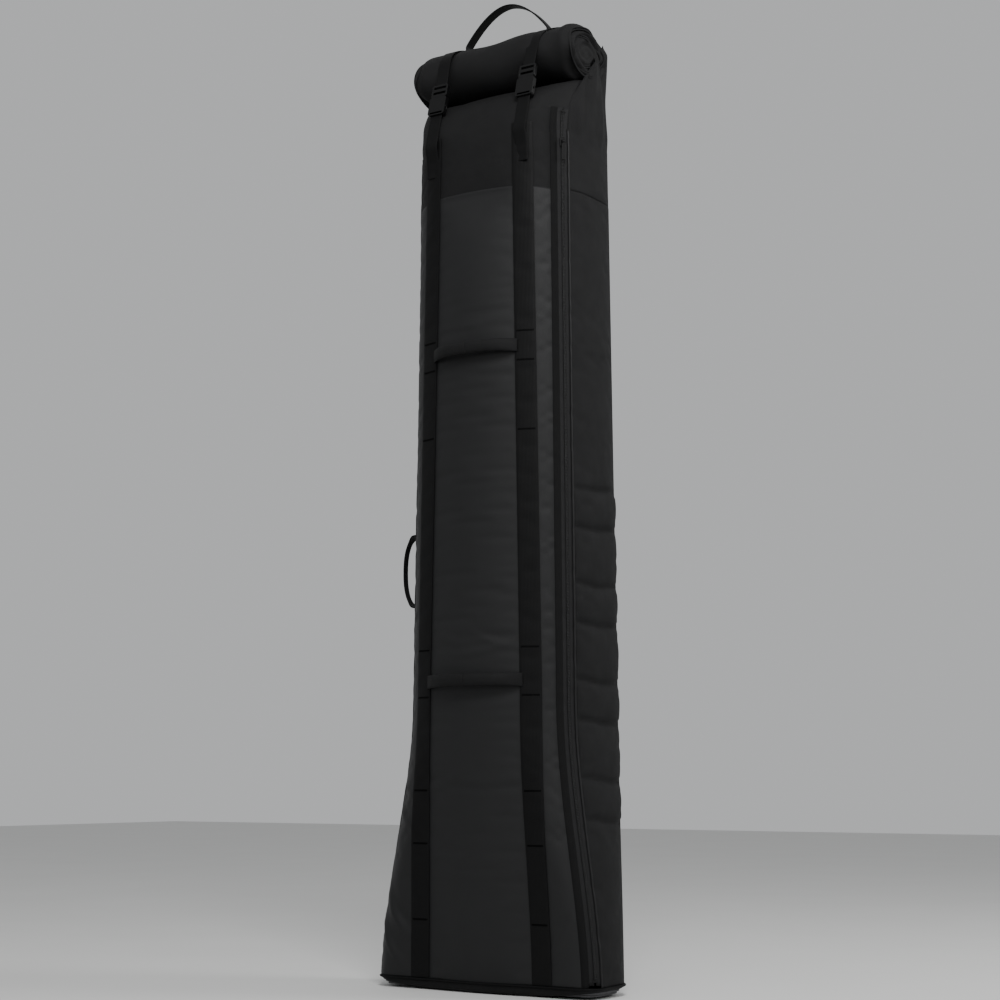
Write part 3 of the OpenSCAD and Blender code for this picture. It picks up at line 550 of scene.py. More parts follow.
collars = {
    "front_collar_cloth": ("front_collar", lambda z: -zip_line(z) - WALL_AT, collar_edge, 0.36),
    "right_gusset_cloth": ("right_gusset", lambda z: zip_line(z) + WALL_AT, back_seam, 0.115),
    "left_gusset_cloth": ("left_gusset", side_left, lambda z: -zip_line(z) - WALL_AT, 0.115),
    "back_collar_cloth": ("back_collar", back_seam, lambda z: 2 * lengths(z)[4] - back_seam(z), 0.36),
}
for name, (node, left, right, cut) in collars.items():
    under = -0.004 if node == "front_collar" else 0.0002
    work = panel_work(lambda share: SEAM_HIGH + under + 0 * share, lambda share: COLLAR_TOP + 0 * share,
                      left, right, 0.005, out=-0.0006)
    collar = make_piece(name, work, nylon.material, solid=SKIN)
    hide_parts(node)


# ---- Base ----------------------------------------------------------------------------
# The base is one piece of nylon under a board and a pad. It hangs through in the middle
# and is drawn up at the corners, where the piping pulls it in.
def base_work():
    bm = bmesh.new()
    rings, around = 14, 180
    bmesh.ops.create_grid(bm, x_segments=around, y_segments=rings, size=0.5)
    grid = np.array([vert.co for vert in bm.verts])
    turn, inward = grid[:, 0] + 0.5, grid[:, 1] + 0.5
    z = np.full(len(grid), FOOT_R)
    edge = on_cloth(z, turn * 2 * lengths(z)[4], -0.0006)
    centre = np.array([0, 0.002, 0])
    shrink = np.where(inward < 0.45, 1 - 0.115 * (inward / 0.45) ** 2.2, 0.885 * (1 - (inward - 0.45) / 0.55))
    place = centre + (edge - centre) * shrink[:, None]
    corner = np.clip((abs(edge[:, 0]) - 0.12) / 0.1, 0, 1) ** 1.5
    drop = np.sin(np.clip(inward / 0.45, 0, 1) * math.pi / 2) ** 0.8
    place[:, 2] = FOOT_R - (FOOT_R - 0.0015 - 0.008 * corner * (inward < 0.999)) * drop
    place[:, 2] = np.where(inward > 0.45, place[:, 2] * (1 - ease((inward - 0.45) / 0.3)), place[:, 2])
    for vert, at in zip(bm.verts, place):
        vert.co = (at[0], 0, at[1])
    flat_marks(bm)
    for vert, at in zip(bm.verts, place):
        vert.co = at
    bmesh.ops.remove_doubles(bm, verts=bm.verts, dist=0.00002)
    bmesh.ops.recalc_face_normals(bm, faces=bm.faces)
    if sum(face.normal.z * face.calc_area() for face in bm.faces) > 0:
        bmesh.ops.reverse_faces(bm, faces=bm.faces)
    return bm


base = make_piece("base_cloth", base_work(), nylon.material, solid=SKIN)
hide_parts("base_panel", "base_edge")

# ---- Padding and lining --------------------------------------------------------------
# Closed foam behind every wall, a board and a pad in the base, and a smooth lining glued
# to the foam. All of it is inside the closed bag.
foam = Finish("foam", (0.065, 0.065, 0.068), 0.9)
foam.shade(foam.noise(500, 2), (0.05, 0.05, 0.052), (0.085, 0.085, 0.09))
foam.bump(foam.node("TexVoronoi", values={"Vector": foam.place(), "Scale": 900}), 0.0003)
lining_cloth = Finish("lining", (0.055, 0.056, 0.06), 0.6)
across, along = lining_cloth.pattern()
lining_cloth.shade(lining_cloth.noise(20, 3), (0.045, 0.046, 0.05), (0.065, 0.066, 0.07))
lining_cloth.bump(weave(lining_cloth, across, along, 0.001), 0.0002)
PAD_LOW = 0.026
pads = {
    "front_foam_padding": (["front_foam"], lambda z: -zip_line(z) + 0.004, lambda z: zip_line(z) - 0.016, foam, -0.0075),
    "back_foam_padding": (["back_foam"], lambda z: back_seam(z) + 0.006,
                          lambda z: 2 * lengths(z)[4] - back_seam(z) - 0.006, foam, -0.0075),
    "quilted_padding": (["right_ribs"], lambda z: zip_line(z) + 0.025, lambda z: back_seam(z) - 0.01, foam, -0.012),
    "left_quilted_padding": (["left_ribs"], lambda z: -back_seam(z) + 0.01, lambda z: -zip_line(z) - 0.025, foam,
                             -0.012),
    "lining_cloth": (["lining"], lambda z: -lengths(z)[4], lambda z: lengths(z)[4], lining_cloth, -0.0195),
}
for name, (nodes, left, right, finish, out) in pads.items():
    work = panel_work(lambda share: PAD_LOW + 0 * share, lambda share: NECK_LOW - 0.004 + 0 * share, left, right, 0.02,
                      out=out)
    lined = finish is lining_cloth
    pad = make_piece(name, work, finish.material, solid=0.001 if lined else 0.006)
    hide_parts(*nodes)
for node in ("base_pad", "base_board", "lining_floor"):
    finish = {"base_pad": foam, "base_board": foam, "lining_floor": lining_cloth}[node]
    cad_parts[node].data.materials.clear()
    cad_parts[node].data.materials.append(finish.material)


# ---- Webbing -------------------------------------------------------------------------
# Heavy polyester webbing, woven with ribs along it, sewn down over its whole length on the
# front and the back. It spreads with the flare of the foot. Bars of dense stitching hold
# it where it carries the handles.
webbing = Finish("webbing", (0.003, 0.003, 0.0032), 0.62, **{"Specular IOR Level": 0.11})
across, along = webbing.pattern()
ribs = (across * (2 * math.pi / 0.0024)).sine() * 0.5 + 0.5
twill = ((along + (across * (2 * math.pi / 0.0048)).sine() * 0.0008) * (2 * math.pi / 0.0016)).sine() * 0.5 + 0.5
webbing.shade(ribs * 0.4 + webbing.noise(40, 4) * 0.6, (0.0018, 0.0018, 0.0019), (0.0045, 0.0045, 0.0047))
webbing.set("Roughness", 0.5 + twill * 0.18)
webbing.bump(ribs * 0.4 + twill * ribs * 0.4, 0.00022)
WEB_OUT, WEB_THICK = 0.0008, 0.0016


def strip_work(wide, low, high, line, out=0.0, step=0.006, across=6, crown=0.0):
    """A flat band of one width between two heights, laid along a line of the body."""
    bm = bmesh.new()
    bmesh.ops.create_grid(bm, x_segments=across, y_segments=max(1, round((high - low) / step)), size=0.5)
    for vert in bm.verts:
        x, y, _ = vert.co
        vert.co = (x * wide, -out - crown * (1 - (2 * x) ** 2), mix(low, high, y + 0.5))
    flat_marks(bm)
    lay(bm.verts, line)
    return bm


WEB_LOW = 0.0215
runs = {
    "left_front_web": ("left_front_webbing", lambda z: -web_line(z), 1.514),
    "right_front_web": ("right_front_webbing", web_line, 1.514),
    "left_back_web": ("left_back_webbing", lambda z: lengths(z)[4] + web_line(z), 1.496),
    "right_back_web": ("right_back_webbing", lambda z: lengths(z)[4] - web_line(z), 1.496),
}
for name, (node, line, top) in runs.items():
    work = strip_work(WIDE_WEB, WEB_LOW, top, line, out=WEB_OUT + WEB_THICK, step=0.007)
    web = make_piece(name, work, webbing.material, solid=WEB_THICK, bevel=0.0005)
    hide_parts(node)

# The stitching is real, but its thread is made darker than the webbing as painted shade: the dark colour stands in for
# the shadow where the bars draw the webbing in.
thread = Finish("thread", (0.001, 0.001, 0.001), 0.7, **{"Specular IOR Level": 0.08})
thread.shade(thread.noise(600, 2), (0.0004, 0.0004, 0.0004), (0.0012, 0.0012, 0.0012))
thread.bump((thread.noise(1500, 1)), 0.0001)
LOW_GRAB, HIGH_GRAB = 0.527, 1.109
TACKS = [0.119, 0.249, 0.340, LOW_GRAB - 0.026, LOW_GRAB + 0.056, 0.960, HIGH_GRAB - 0.026, HIGH_GRAB + 0.026]


def stitch_bar(bm, wide, level, out, high=0.0032, gap=0.0013):
    """Flat work for a bar of close stitches across a band, each stitch a small bar of thread."""
    made = []
    for k in range(round(wide / gap)):
        stitch = bmesh.ops.create_cube(bm, size=1.0)["verts"]
        for vert in stitch:
            x, y, z = vert.co
            narrow = 1 - 0.3 * (y < 0)
            vert.co = ((k + 0.5 + x * 0.8 * narrow) * gap - wide / 2 + z * 0.0004, y * 0.0009 - out,
                       level + z * high * narrow)
        made += stitch
    return made


bars = bmesh.new()
for line in (web_line, lambda z: -web_line(z)):
    stitches = [vert for level in TACKS for vert in stitch_bar(bars, 0.031, level, WEB_OUT + WEB_THICK + 0.0003)]
    lay(stitches, line)
tacks = make_piece("bars_of_stitching", bars, thread.material, smooth=False)
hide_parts("bartacks")

# ---- Zip -----------------------------------------------------------------------------
# A long coil zip down the right front corner, between two woven tapes, with the panel's
# edge bound in ribbon beside it. The coil's turns show as fine rungs.
tape = Finish("zip tape", (0.007, 0.007, 0.0075), 0.7, **{"Specular IOR Level": 0.18})
across, along = tape.pattern()
rungs = (along * (2 * math.pi / 0.0016)).sine() * 0.5 + 0.5
edge_rib = (across * (2 * math.pi / 0.0030)).sine() * 0.5 + 0.5
tape.shade(tape.noise(60, 3) * 0.6 + rungs * 0.4, (0.0050, 0.0050, 0.0053), (0.0095, 0.0095, 0.0100))
tape.bump(edge_rib * 0.8 + rungs * 0.4, 0.0003)
coil_plastic = Finish("zip coil", (0.008, 0.008, 0.0085), 0.35, **{"Specular IOR Level": 0.3})
coil_plastic.shade(coil_plastic.noise(300, 2), (0.006, 0.006, 0.0063), (0.010, 0.010, 0.0105))
coil_plastic.set("Roughness", 0.3 + coil_plastic.noise(200, 2) * 0.15)
for name, node, side in (("front_tape", "zip_front_tape", -1), ("side_tape", "zip_side_tape", 1)):
    work = strip_work(0.0105, ZIP_LOW, ZIP_TOP, lambda z, side=side: zip_line(z) + side * 0.00675, step=0.006, across=4,
                      out=0.0003, crown=0.0004)
    half_tape = make_piece(name, work, tape.material, solid=0.0009)
    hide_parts(node)

coil_bm = bmesh.new()
TOOTH = 0.0026
teeth = int((ZIP_TOP - ZIP_LOW - 0.010) / TOOTH)
for k in range(teeth):
    made = bmesh.ops.create_cube(coil_bm, size=1.0)["verts"]
    for vert in made:
        x, y, z = vert.co
        end = abs(x) > 0.4
        slant = (x + 0.5) * 0.5 * TOOTH
        vert.co = (x * 0.0052, y * 0.0015 - 0.0010, ZIP_LOW + 0.005 + k * TOOTH + z * 0.0017 + slant)
bmesh.ops.bevel(coil_bm, geom=[e for e in coil_bm.edges if abs((e.verts[0].co - e.verts[1].co).x) > 0.004],
                offset=0.0004, segments=1, affect="EDGES", profile=0.5, material=-1)
lay(coil_bm.verts, zip_line)
coil = make_piece("coil", coil_bm, coil_plastic.material)
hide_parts("zip_coil")

ribbon = Finish("ribbon", (0.003, 0.003, 0.0031), 0.7, **{"Specular IOR Level": 0.12})
across, along = ribbon.pattern()
ribbon.shade(ribbon.noise(50, 4), (0.0022, 0.0022, 0.0023), (0.0040, 0.0040, 0.0042))
ribbon.bump((along * (2 * math.pi / 0.0013)).sine() * 0.5 + 0.5, 0.00025)
work = strip_work(0.0125, ZIP_LOW - 0.002, ZIP_TOP, lambda z: zip_line(z) - 0.0165, step=0.006, across=6, out=0.0012,
                  crown=0.0008)
binding = make_piece("zip_ribbon", work, ribbon.material, solid=0.0014, bevel=0.0003)
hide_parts("zip_binding")

moulded = Finish("moulded plastic", (0.003, 0.003, 0.0032), 0.4, **{"Specular IOR Level": 0.2})
moulded.shade(moulded.noise(120, 3), (0.0022, 0.0022, 0.0023), (0.0040, 0.0040, 0.0042))
moulded.set("Roughness", 0.38 + moulded.noise(700, 2) * 0.14)
moulded.bump(moulded.noise(1600, 2), 0.00008)


def finish_part(node, material, round_edges):
    """Gives a hard part of the frame its finish, and softens its moulded edges."""
    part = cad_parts[node]
    part.data.materials.clear()
    part.data.materials.append(material)
    weld = part.modifiers.new("Weld", "WELD")
    weld.merge_threshold = 0.00001
    edges = part.modifiers.new("Edges", "BEVEL")
    edges.width, edges.segments, edges.limit_method = round_edges, 2, "ANGLE"
    edges.angle_limit = math.radians(35)
    edges.use_clamp_overlap = True


finish_part("zip_slider", moulded.material, 0.0003)
finish_part("zip_pull", moulded.material, 0.0003)
finish_part("zip_stops", moulded.material, 0.0002)

# ---- Piping --------------------------------------------------------------------------
# A cord in a strip of smooth vinyl, sewn into the seams at both front corners and round
# the base. It waves a little where the thread draws it in.
vinyl = Finish("vinyl", (0.008, 0.008, 0.0085), 0.5, **{"Specular IOR Level": 0.2})
vinyl.shade(vinyl.noise(80, 3), (0.0055, 0.0055, 0.0058), (0.0085, 0.0085, 0.0090))
vinyl.bump(vinyl.noise(500, 2), 0.0001)
PIPE_R = 0.0019


def cord_work(low, high, line, radius, out, step=0.006):
    """A round cord between two heights, laid along a line of the body."""
    bm = bmesh.new()
    bmesh.ops.create_grid(bm, x_segments=10, y_segments=round((high - low) / step), size=0.5)
    for vert in bm.verts:
        x, y, _ = vert.co
        turn = 2 * math.pi * x
        vert.co = (-radius * math.sin(turn), radius * math.cos(turn) - out, mix(low, high, y + 0.5))
    flat_marks(bm)
    bmesh.ops.remove_doubles(bm, verts=bm.verts, dist=0.00001)
    bmesh.ops.holes_fill(bm, edges=[e for e in bm.edges if e.is_boundary], sides=12)
    lay(bm.verts, line)
    bmesh.ops.recalc_face_normals(bm, faces=bm.faces)
    return bm


for name, node, line in (("left_cord", "left_piping", lambda z: -zip_line(z) - PIPE_AT - 0.002),
                         ("right_cord", "right_piping", lambda z: zip_line(z) + PIPE_AT + 0.002)):
    cord = make_piece(name, cord_work(ZIP_LOW - 0.004, NECK_LOW + 0.004, line, PIPE_R, 0.001), vinyl.material)
    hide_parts(node)

ring = bmesh.new()
bmesh.ops.create_grid(ring, x_segments=10, y_segments=300, size=0.5)
grid = np.array([vert.co for vert in ring.verts])
turn, travel = 2 * math.pi * grid[:, 0], grid[:, 1] + 0.5
level = np.full(len(grid), FOOT_R)
places = on_cloth(level, travel * 2 * lengths(level)[4], 0.0012 + 0.0019 * np.cos(turn))
places[:, 2] = FOOT_R - 0.0005 + 0.0019 * np.sin(turn)
for vert, place in zip(ring.verts, places):
    vert.co = place
flat_marks(ring)
bmesh.ops.remove_doubles(ring, verts=ring.verts, dist=0.00002)
bmesh.ops.recalc_face_normals(ring, faces=ring.faces)
base_cord = make_piece("base_cord", ring, ribbon.material)
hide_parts("base_piping")

# ---- Roll ----------------------------------------------------------------------------
# The top of the collar is rolled down to the front two and a quarter times and held by
# the straps. Both plies of nylon show at its ends, and it sags between the straps.
ROLL_LONG, ROLL_DEEP, ROLL_HIGH = 0.342, 0.140, 0.106
PLY, TURN_GAP, TURNS = 0.007, 0.003, 2.25
ROLL_Z = NECK_LOW + NECK_RISE + 0.0004 + ROLL_HIGH / 2
STRAP_AT = 0.095


def coil_place(degrees, deeper):
    """A point of the roll's spiral in Y and Z. It goes from under the roll up the back and down the front."""
    inner = np.floor(degrees / 360) + ease((degrees % 360 - 270) / 90)
    shrink = (PLY + TURN_GAP) * inner + deeper
    t = np.radians(degrees)
    return ROLL_BACK + (ROLL_DEEP / 2 - shrink) * np.sin(t), ROLL_Z - (ROLL_HIGH / 2 - shrink) * np.cos(t)


def roll_folds(degrees, x):
    """How far the rolled cloth stands out of its oval, in metres."""
    front = hill((degrees % 360) - 270, 70)
    straps = hill(abs(x) - STRAP_AT - 0.004, 0.018)
    folds = 0.0022 * np.sin(x * 95 + 1.3 * np.sin(np.radians(degrees)) + 0.6 * np.sin(x * 33))
    folds = folds * ease((x - 0.03) / 0.10) * (0.5 + 0.5 * front)
    soft = 0.0022 * np.sin(x * 21 + np.radians(degrees) * 1.5) + 0.0014 * np.sin(x * 47 - np.radians(degrees) * 2.2 + 1)
    ends = 0.0035 * ease((abs(x) - 0.12) / 0.05) * np.sin(np.radians(degrees) * 3 + x * 9)
    sag = 0.0050 * hill((degrees % 360) - 320, 36) * (1 - (x / 0.19) ** 2)
    drawn_in = 0.010 * ease((abs(x) - 0.146) / 0.025) ** 1.5
    seat = 0.0070 * hill((degrees + 180) % 360 - 180, 42) * ease((0.168 - abs(x)) / 0.02)
    return folds + soft + ends + sag + seat - 0.0038 * straps - drawn_in


roll_bm = bmesh.new()
layer = roll_bm.loops.layers.uv.new("pattern")
for deeper in (0.0, 0.0038):
    made = bmesh.ops.create_grid(roll_bm, x_segments=84, y_segments=170, size=0.5)["verts"]
    grid = np.array([vert.co for vert in made])
    x, degrees = grid[:, 0] * ROLL_LONG, (grid[:, 1] + 0.5) * 360 * TURNS
    y, z = coil_place(degrees, deeper - roll_folds(degrees, x))
    end = ease((abs(x) - 0.13) / 0.041)
    shift = np.sign(x) * end * (0.0045 * np.sin(np.radians(degrees) * 4 + np.sign(x)) - 0.003 * degrees / 360)
    for vert, u, t, a, b, c in zip(made, x, degrees, x + shift, y, z):
        for loop in vert.link_loops:
            loop[layer].uv = (u, math.radians(t) * 0.055)
        vert.co = (a, b, c)
# cloth packed inside each end, in the ridges of its turns
for side in (-1, 1):
    made = bmesh.ops.create_grid(roll_bm, x_segments=72, y_segments=26, size=0.5)["verts"]
    grid = np.array([vert.co for vert in made])
    turn, share = 2 * math.pi * (grid[:, 0] + 0.5), grid[:, 1] + 0.5
    ridge = 0.0040 * np.sin(2 * math.pi * share * 3.4 + turn) * share + 0.0022 * np.sin(3 * turn + 6 * share) * share
    y = ROLL_BACK + (ROLL_DEEP / 2 - 0.006) * share * np.sin(turn)
    z = ROLL_Z - (ROLL_HIGH / 2 - 0.006) * share * np.cos(turn)
    for vert, a, b, c in zip(made, side * (0.1655 + ridge), y, z):
        for loop in vert.link_loops:
            loop[layer].uv = (b, c)
        vert.co = (a, b, c)
bmesh.ops.remove_doubles(roll_bm, verts=roll_bm.verts, dist=0.00001)
bmesh.ops.recalc_face_normals(roll_bm, faces=roll_bm.faces)
roll = make_piece("rolled_top", roll_bm, nylon.material, solid=0.0026)
roll.modifiers["Thickness"].offset = 0
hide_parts("roll_top")
finish_part("roll_stiffener", moulded.material, 0.0005)


def ear_work(side):
    """The gusset's spare cloth, gathered up from the shoulder over the lower back of the roll's end."""
    bm = bmesh.new()
    bmesh.ops.create_grid(bm, x_segments=56, y_segments=60, size=0.5)
    grid = np.array([vert.co for vert in bm.verts])
    share, rise = grid[:, 0] + 0.5, grid[:, 1] + 0.5
    front_end, back_end = outline(1.597, zip_line(1.597) + 0.012), np.array([0.1700, 0.084, ROLL_Z + 0.036])

    def low_edge(u):
        z = np.full(len(u), NECK_LOW - 0.020)
        return on_cloth(z, mix(zip_line(z) + 0.0155, back_seam(z) + 0.045, u), -0.0008)

    def high_edge(u):
        x = mix(front_end[0], 0.1745, ease(u / 0.22))
        return np.stack([x, mix(front_end[1], back_end[1], u), mix(front_end[2], back_end[2], u**0.8)], -1)

    def front_edge(v):
        z = mix(NECK_LOW - 0.020, 1.597, v)
        return on_cloth(z, zip_line(z) + mix(0.0155, 0.012, v), -0.0008)

    def back_edge(v):
        foot = low_edge(np.ones(1))[0]
        return foot + (back_end - foot) * v[:, None]

    u, v = share[:, None], rise[:, None]
    corners = [edge(np.array([at], float))[0] for edge in (low_edge, high_edge) for at in (0, 1)]
    place = (1 - v) * low_edge(share) + v * high_edge(share) + (1 - u) * front_edge(rise) + u * back_edge(rise)
    place -= (1 - u) * (1 - v) * corners[0] + u * (1 - v) * corners[1] + (1 - u) * v * corners[2] + u * v * corners[3]
    free = ease(rise / 0.25) * ease(share / 0.12)
    fold = 0.0046 * np.sin(share * 12 + 2.5 * rise) * rise + 0.0020 * np.sin(share * 27 - 5 * rise) * (1.2 - rise)
    place[:, 0] += (fold + 0.0040 * np.sin(math.pi * rise) + 0.0016) * free - 0.010 * ease((rise - 0.9) / 0.1) * share
    place[:, 0] *= side
    for vert, x, z in zip(bm.verts, share * 0.14, rise * 0.19):
        vert.co = (x, 0, z)
    flat_marks(bm)
    for vert, at in zip(bm.verts, place):
        vert.co = at
    if side < 0:
        bmesh.ops.reverse_faces(bm, faces=bm.faces)
    return bm


for hand, side in (("left", -1), ("right", 1)):
    ear = make_piece(hand + "_gusset_fold", ear_work(side), nylon.material, solid=SKIN)

# ---- Straps over the roll ------------------------------------------------------------
# Narrow webbing from the plug of each buckle over the roll and down to the back, and a
# short length from the front webbing up to the socket.
STRAP_OUT = WEB_OUT + WEB_THICK + 0.0004
STAND_OFF, HUMP, HUG, HUMP_WIDE = 0.007, 0.0042, 0.001, 15
SPLAY = 0.15
SOCKET_AT, SOCKET_LONG, PLUG_LONG = 0.066, 0.038, 0.026
front_foot = outline(NECK_LOW, STRAP_AT, STRAP_OUT + STAND_OFF)[1:]
back_foot = outline(NECK_LOW, lengths(NECK_LOW)[4], WEB_OUT + WEB_THICK + 0.0014)[1:]


def lift_at(degrees):
    return HUG + HUMP * math.exp(-(((degrees - 90) / HUMP_WIDE) ** 2))


def round_roll(degrees, out=0.0):
    """The strap's line round the roll, from the front over the top, in Y and Z."""
    t, off = math.radians(degrees), lift_at(degrees) + out
    return (ROLL_BACK - (ROLL_DEEP / 2 + off) * math.cos(t), ROLL_Z + (ROLL_HIGH / 2 + off) * math.sin(t))


def from_roll(point):
    return np.array([(ROLL_BACK - point[0]) / (ROLL_DEEP / 2 + HUG), (point[1] - ROLL_Z) / (ROLL_HIGH / 2 + HUG)])


seen_front, seen_back = from_roll(front_foot), from_roll(back_foot)
turn_in = math.degrees(math.atan2(seen_front[1], seen_front[0]) + math.acos(1 / np.linalg.norm(seen_front)))
turn_out = 360 + math.degrees(math.atan2(seen_back[1], seen_back[0]) - math.acos(1 / np.linalg.norm(seen_back)))
touching = round_roll(turn_in)
strap_tilt = math.atan2(touching[0] - front_foot[0], touching[1] - front_foot[1])


def up_line(distance):
    return (front_foot[0] + distance * math.sin(strap_tilt), front_foot[1] + distance * math.cos(strap_tilt))


def spread(y):
    """How far a strap has moved out from its foot, on its way to the roll's top and back in behind."""
    return SPLAY * (np.minimum(y, 2 * ROLL_BACK - y) - up_line(SOCKET_AT + SOCKET_LONG + PLUG_LONG)[0])


def strap_work(wide, points, x_middle, thick, step=0.004, across=6, ripple=0.0):
    """A band of one width along a line of points in Y and Z, its outer face on the outer side."""
    points = np.array(points, float)
    travel = np.concatenate([[0], np.cumsum(np.linalg.norm(np.diff(points, axis=0), axis=1))])
    count = max(2, round(travel[-1] / step))
    bm = bmesh.new()
    bmesh.ops.create_grid(bm, x_segments=across, y_segments=count, size=0.5)
    grid = np.array([vert.co for vert in bm.verts])
    x, s = grid[:, 0] * wide, (grid[:, 1] + 0.5) * travel[-1]
    for vert, a, b in zip(bm.verts, x, s):
        vert.co = (a, 0, b)
    flat_marks(bm)
    y, z = np.interp(s, travel, points[:, 0]), np.interp(s, travel, points[:, 1])
    ahead, behind = np.minimum(s + 0.002, travel[-1]), np.maximum(s - 0.002, 0)
    dy = np.interp(ahead, travel, points[:, 0]) - np.interp(behind, travel, points[:, 0])
    dz = np.interp(ahead, travel, points[:, 1]) - np.interp(behind, travel, points[:, 1])
    long = np.hypot(dy, dz)
    off = thick + ripple * np.sin(s * 60 + 1)
    for vert, a, b, c, ny, nz in zip(bm.verts, x, y, z, -dz / long * off, dy / long * off):
        vert.co = (x_middle + a, b + ny, c + nz)
    return bm


turns_at = np.linspace(turn_in, turn_out, 60)
for hand, side in (("left", -1), ("right", 1)):
    sewn = [(float(on_cloth(z, side * web_line(z), STRAP_OUT + STAND_OFF * max(0, (z - NECK_LOW + 0.03) / 0.03))[1]), z)
            for z in np.linspace(NECK_LOW - 0.058, NECK_LOW - 0.002, 16)]
    line = sewn + [up_line(0.004 + d * 0.005) for d in range(14)]
    lower = make_piece(hand + "_lower_web", strap_work(NARROW_WEB, line, side * STRAP_AT, WEB_THICK), webbing.material,
                       solid=WEB_THICK, bevel=0.0004)
    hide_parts(hand + "_lower_strap")
    sewn_back = [(float(on_cloth(z, lengths(z)[4] + side * web_line(z), STRAP_OUT - 0.0002)[1]), z)
                 for z in np.linspace(NECK_LOW - 0.006, NECK_LOW - 0.066, 12)]
    line = [up_line(SOCKET_AT + SOCKET_LONG + PLUG_LONG - 0.005)] + [round_roll(t) for t in turns_at] + sewn_back
    work = strap_work(NARROW_WEB, line, side * STRAP_AT, WEB_THICK)
    for vert in work.verts:
        vert.co.x += side * spread(vert.co.y)
    upper = make_piece(hand + "_closure_web", work, webbing.material, solid=WEB_THICK, bevel=0.0004)
    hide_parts(hand + "_closure_strap")

# ---- Buckles -------------------------------------------------------------------------
# Side-release buckles moulded in acetal: the plug with its ladder bars above, the socket
# below, and two sprung prongs that show in the socket's side windows.
for hand in ("left", "right"):
    for part in ("socket", "plug", "left_prong", "right_prong"):
        finish_part(f"{hand}_buckle_{part}", moulded.material, 0.0006)

# ---- Grab handles --------------------------------------------------------------------
# A foam core in a sleeve of nylon, sewn down at both ends under the webbing. Each stands
# off the front, with room for the fingers behind it.
GRAB_WIDE, GRAB_THICK, GRAB_ROOM = 0.023, 0.012, 0.009


def grab_work(level, side):
    """One half of a grip, from its middle to its sewn end."""
    end = float(web_line(level)) - WIDE_WEB / 2 + 0.006
    bm = bmesh.new()
    bmesh.ops.create_grid(bm, x_segments=20, y_segments=44, size=0.5)
    grid = np.array([vert.co for vert in bm.verts])
    turn, travel = 2 * math.pi * (grid[:, 0] + 0.5), (grid[:, 1] + 0.5) * end
    bow = 1 - (travel / end) ** 4
    thick = (GRAB_THICK - (GRAB_THICK - 0.003) * (1 - bow)) / 2
    high = GRAB_WIDE / 2 * (1 - 0.06 * np.sin(travel * 180)**2 * bow)
    squared = 2.1
    c, s = np.cos(turn), np.sin(turn)
    across = np.sign(c) * abs(c) ** (2 / squared) * thick
    up = np.sign(s) * abs(s) ** (2 / squared) * high
    front = on_cloth(np.full(len(travel), level), side * travel, 0)[:, 1]
    fold = 0.0007 * np.sin(travel * 340 + up * 150) * bow * (across < 0)
    y = front - 0.0016 - GRAB_ROOM * bow - thick - across + fold
    places = np.stack([side * travel, y, level + up + 0.001 * bow], -1)
    for vert, a, b in zip(bm.verts, turn, travel):
        vert.co = (a * 0.009, 0, b)
    flat_marks(bm)
    for vert, place in zip(bm.verts, places):
        vert.co = place
    bmesh.ops.remove_doubles(bm, verts=bm.verts, dist=0.00002)
    bmesh.ops.holes_fill(bm, edges=[e for e in bm.edges if e.is_boundary], sides=30)
    bmesh.ops.recalc_face_normals(bm, faces=bm.faces)
    return bm


for name, level in (("upper_grab", HIGH_GRAB), ("lower_grab", LOW_GRAB)):
    for hand, side in (("left", -1), ("right", 1)):
        grip = make_piece(f"{name}_{hand}_half", grab_work(level, side), nylon.material, body=None)
        front = float(on_cloth(level, side * 0.05)[1])
        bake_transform(grip)
        if side < 0:
            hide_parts(name + "_ends", name + "_sleeve", name + "_core")

# ---- Side handle ---------------------------------------------------------------------
# A loop of doubled webbing on the left side wall, sewn down above and below.
SIDE_HIGH, SIDE_SPAN, SIDE_RISE, SIDE_Y = 0.735, 0.132, 0.038, 0.004
LOOP_THICK, LOOP_FOOT = 0.0026, 0.010


def arch_line(half, rise, foot, pad, shape, count=40):
    """Half of a loop in flat work: out along its sewn pad, then up the arch to its middle."""
    flat = [(half + pad - pad * k / 6, 0.0) for k in range(6)]
    turn = [(half + 0.003 - 0.003 * math.sin(math.radians(a)), 0.003 - 0.003 * math.cos(math.radians(a)))
            for a in (0, 30, 60, 90)]
    arch = [(half * t, foot + (rise - foot) * max(1 - t ** shape[0], 0) ** shape[1])
            for t in [math.cos(math.radians(90 * k / count)) for k in range(1, count)] + [0.0]]
    return flat + turn + arch


def loop_work(points, wide, thick):
    """A band of webbing along a line of points in X and Z, as wide as it says in Y."""
    points = np.array(points, float)
    travel = np.concatenate([[0], np.cumsum(np.linalg.norm(np.diff(points, axis=0), axis=1))])
    bm = bmesh.new()
    bmesh.ops.create_grid(bm, x_segments=6, y_segments=round(travel[-1] / 0.003), size=0.5)
    grid = np.array([vert.co for vert in bm.verts])
    y, s = grid[:, 0] * wide, (grid[:, 1] + 0.5) * travel[-1]
    for vert, a, b in zip(bm.verts, y, s):
        vert.co = (a, 0, b)
    flat_marks(bm)
    for vert, a, b, c in zip(bm.verts, np.interp(s, travel, points[:, 0]), y, np.interp(s, travel, points[:, 1])):
        vert.co = (a, b, c)
    return bm


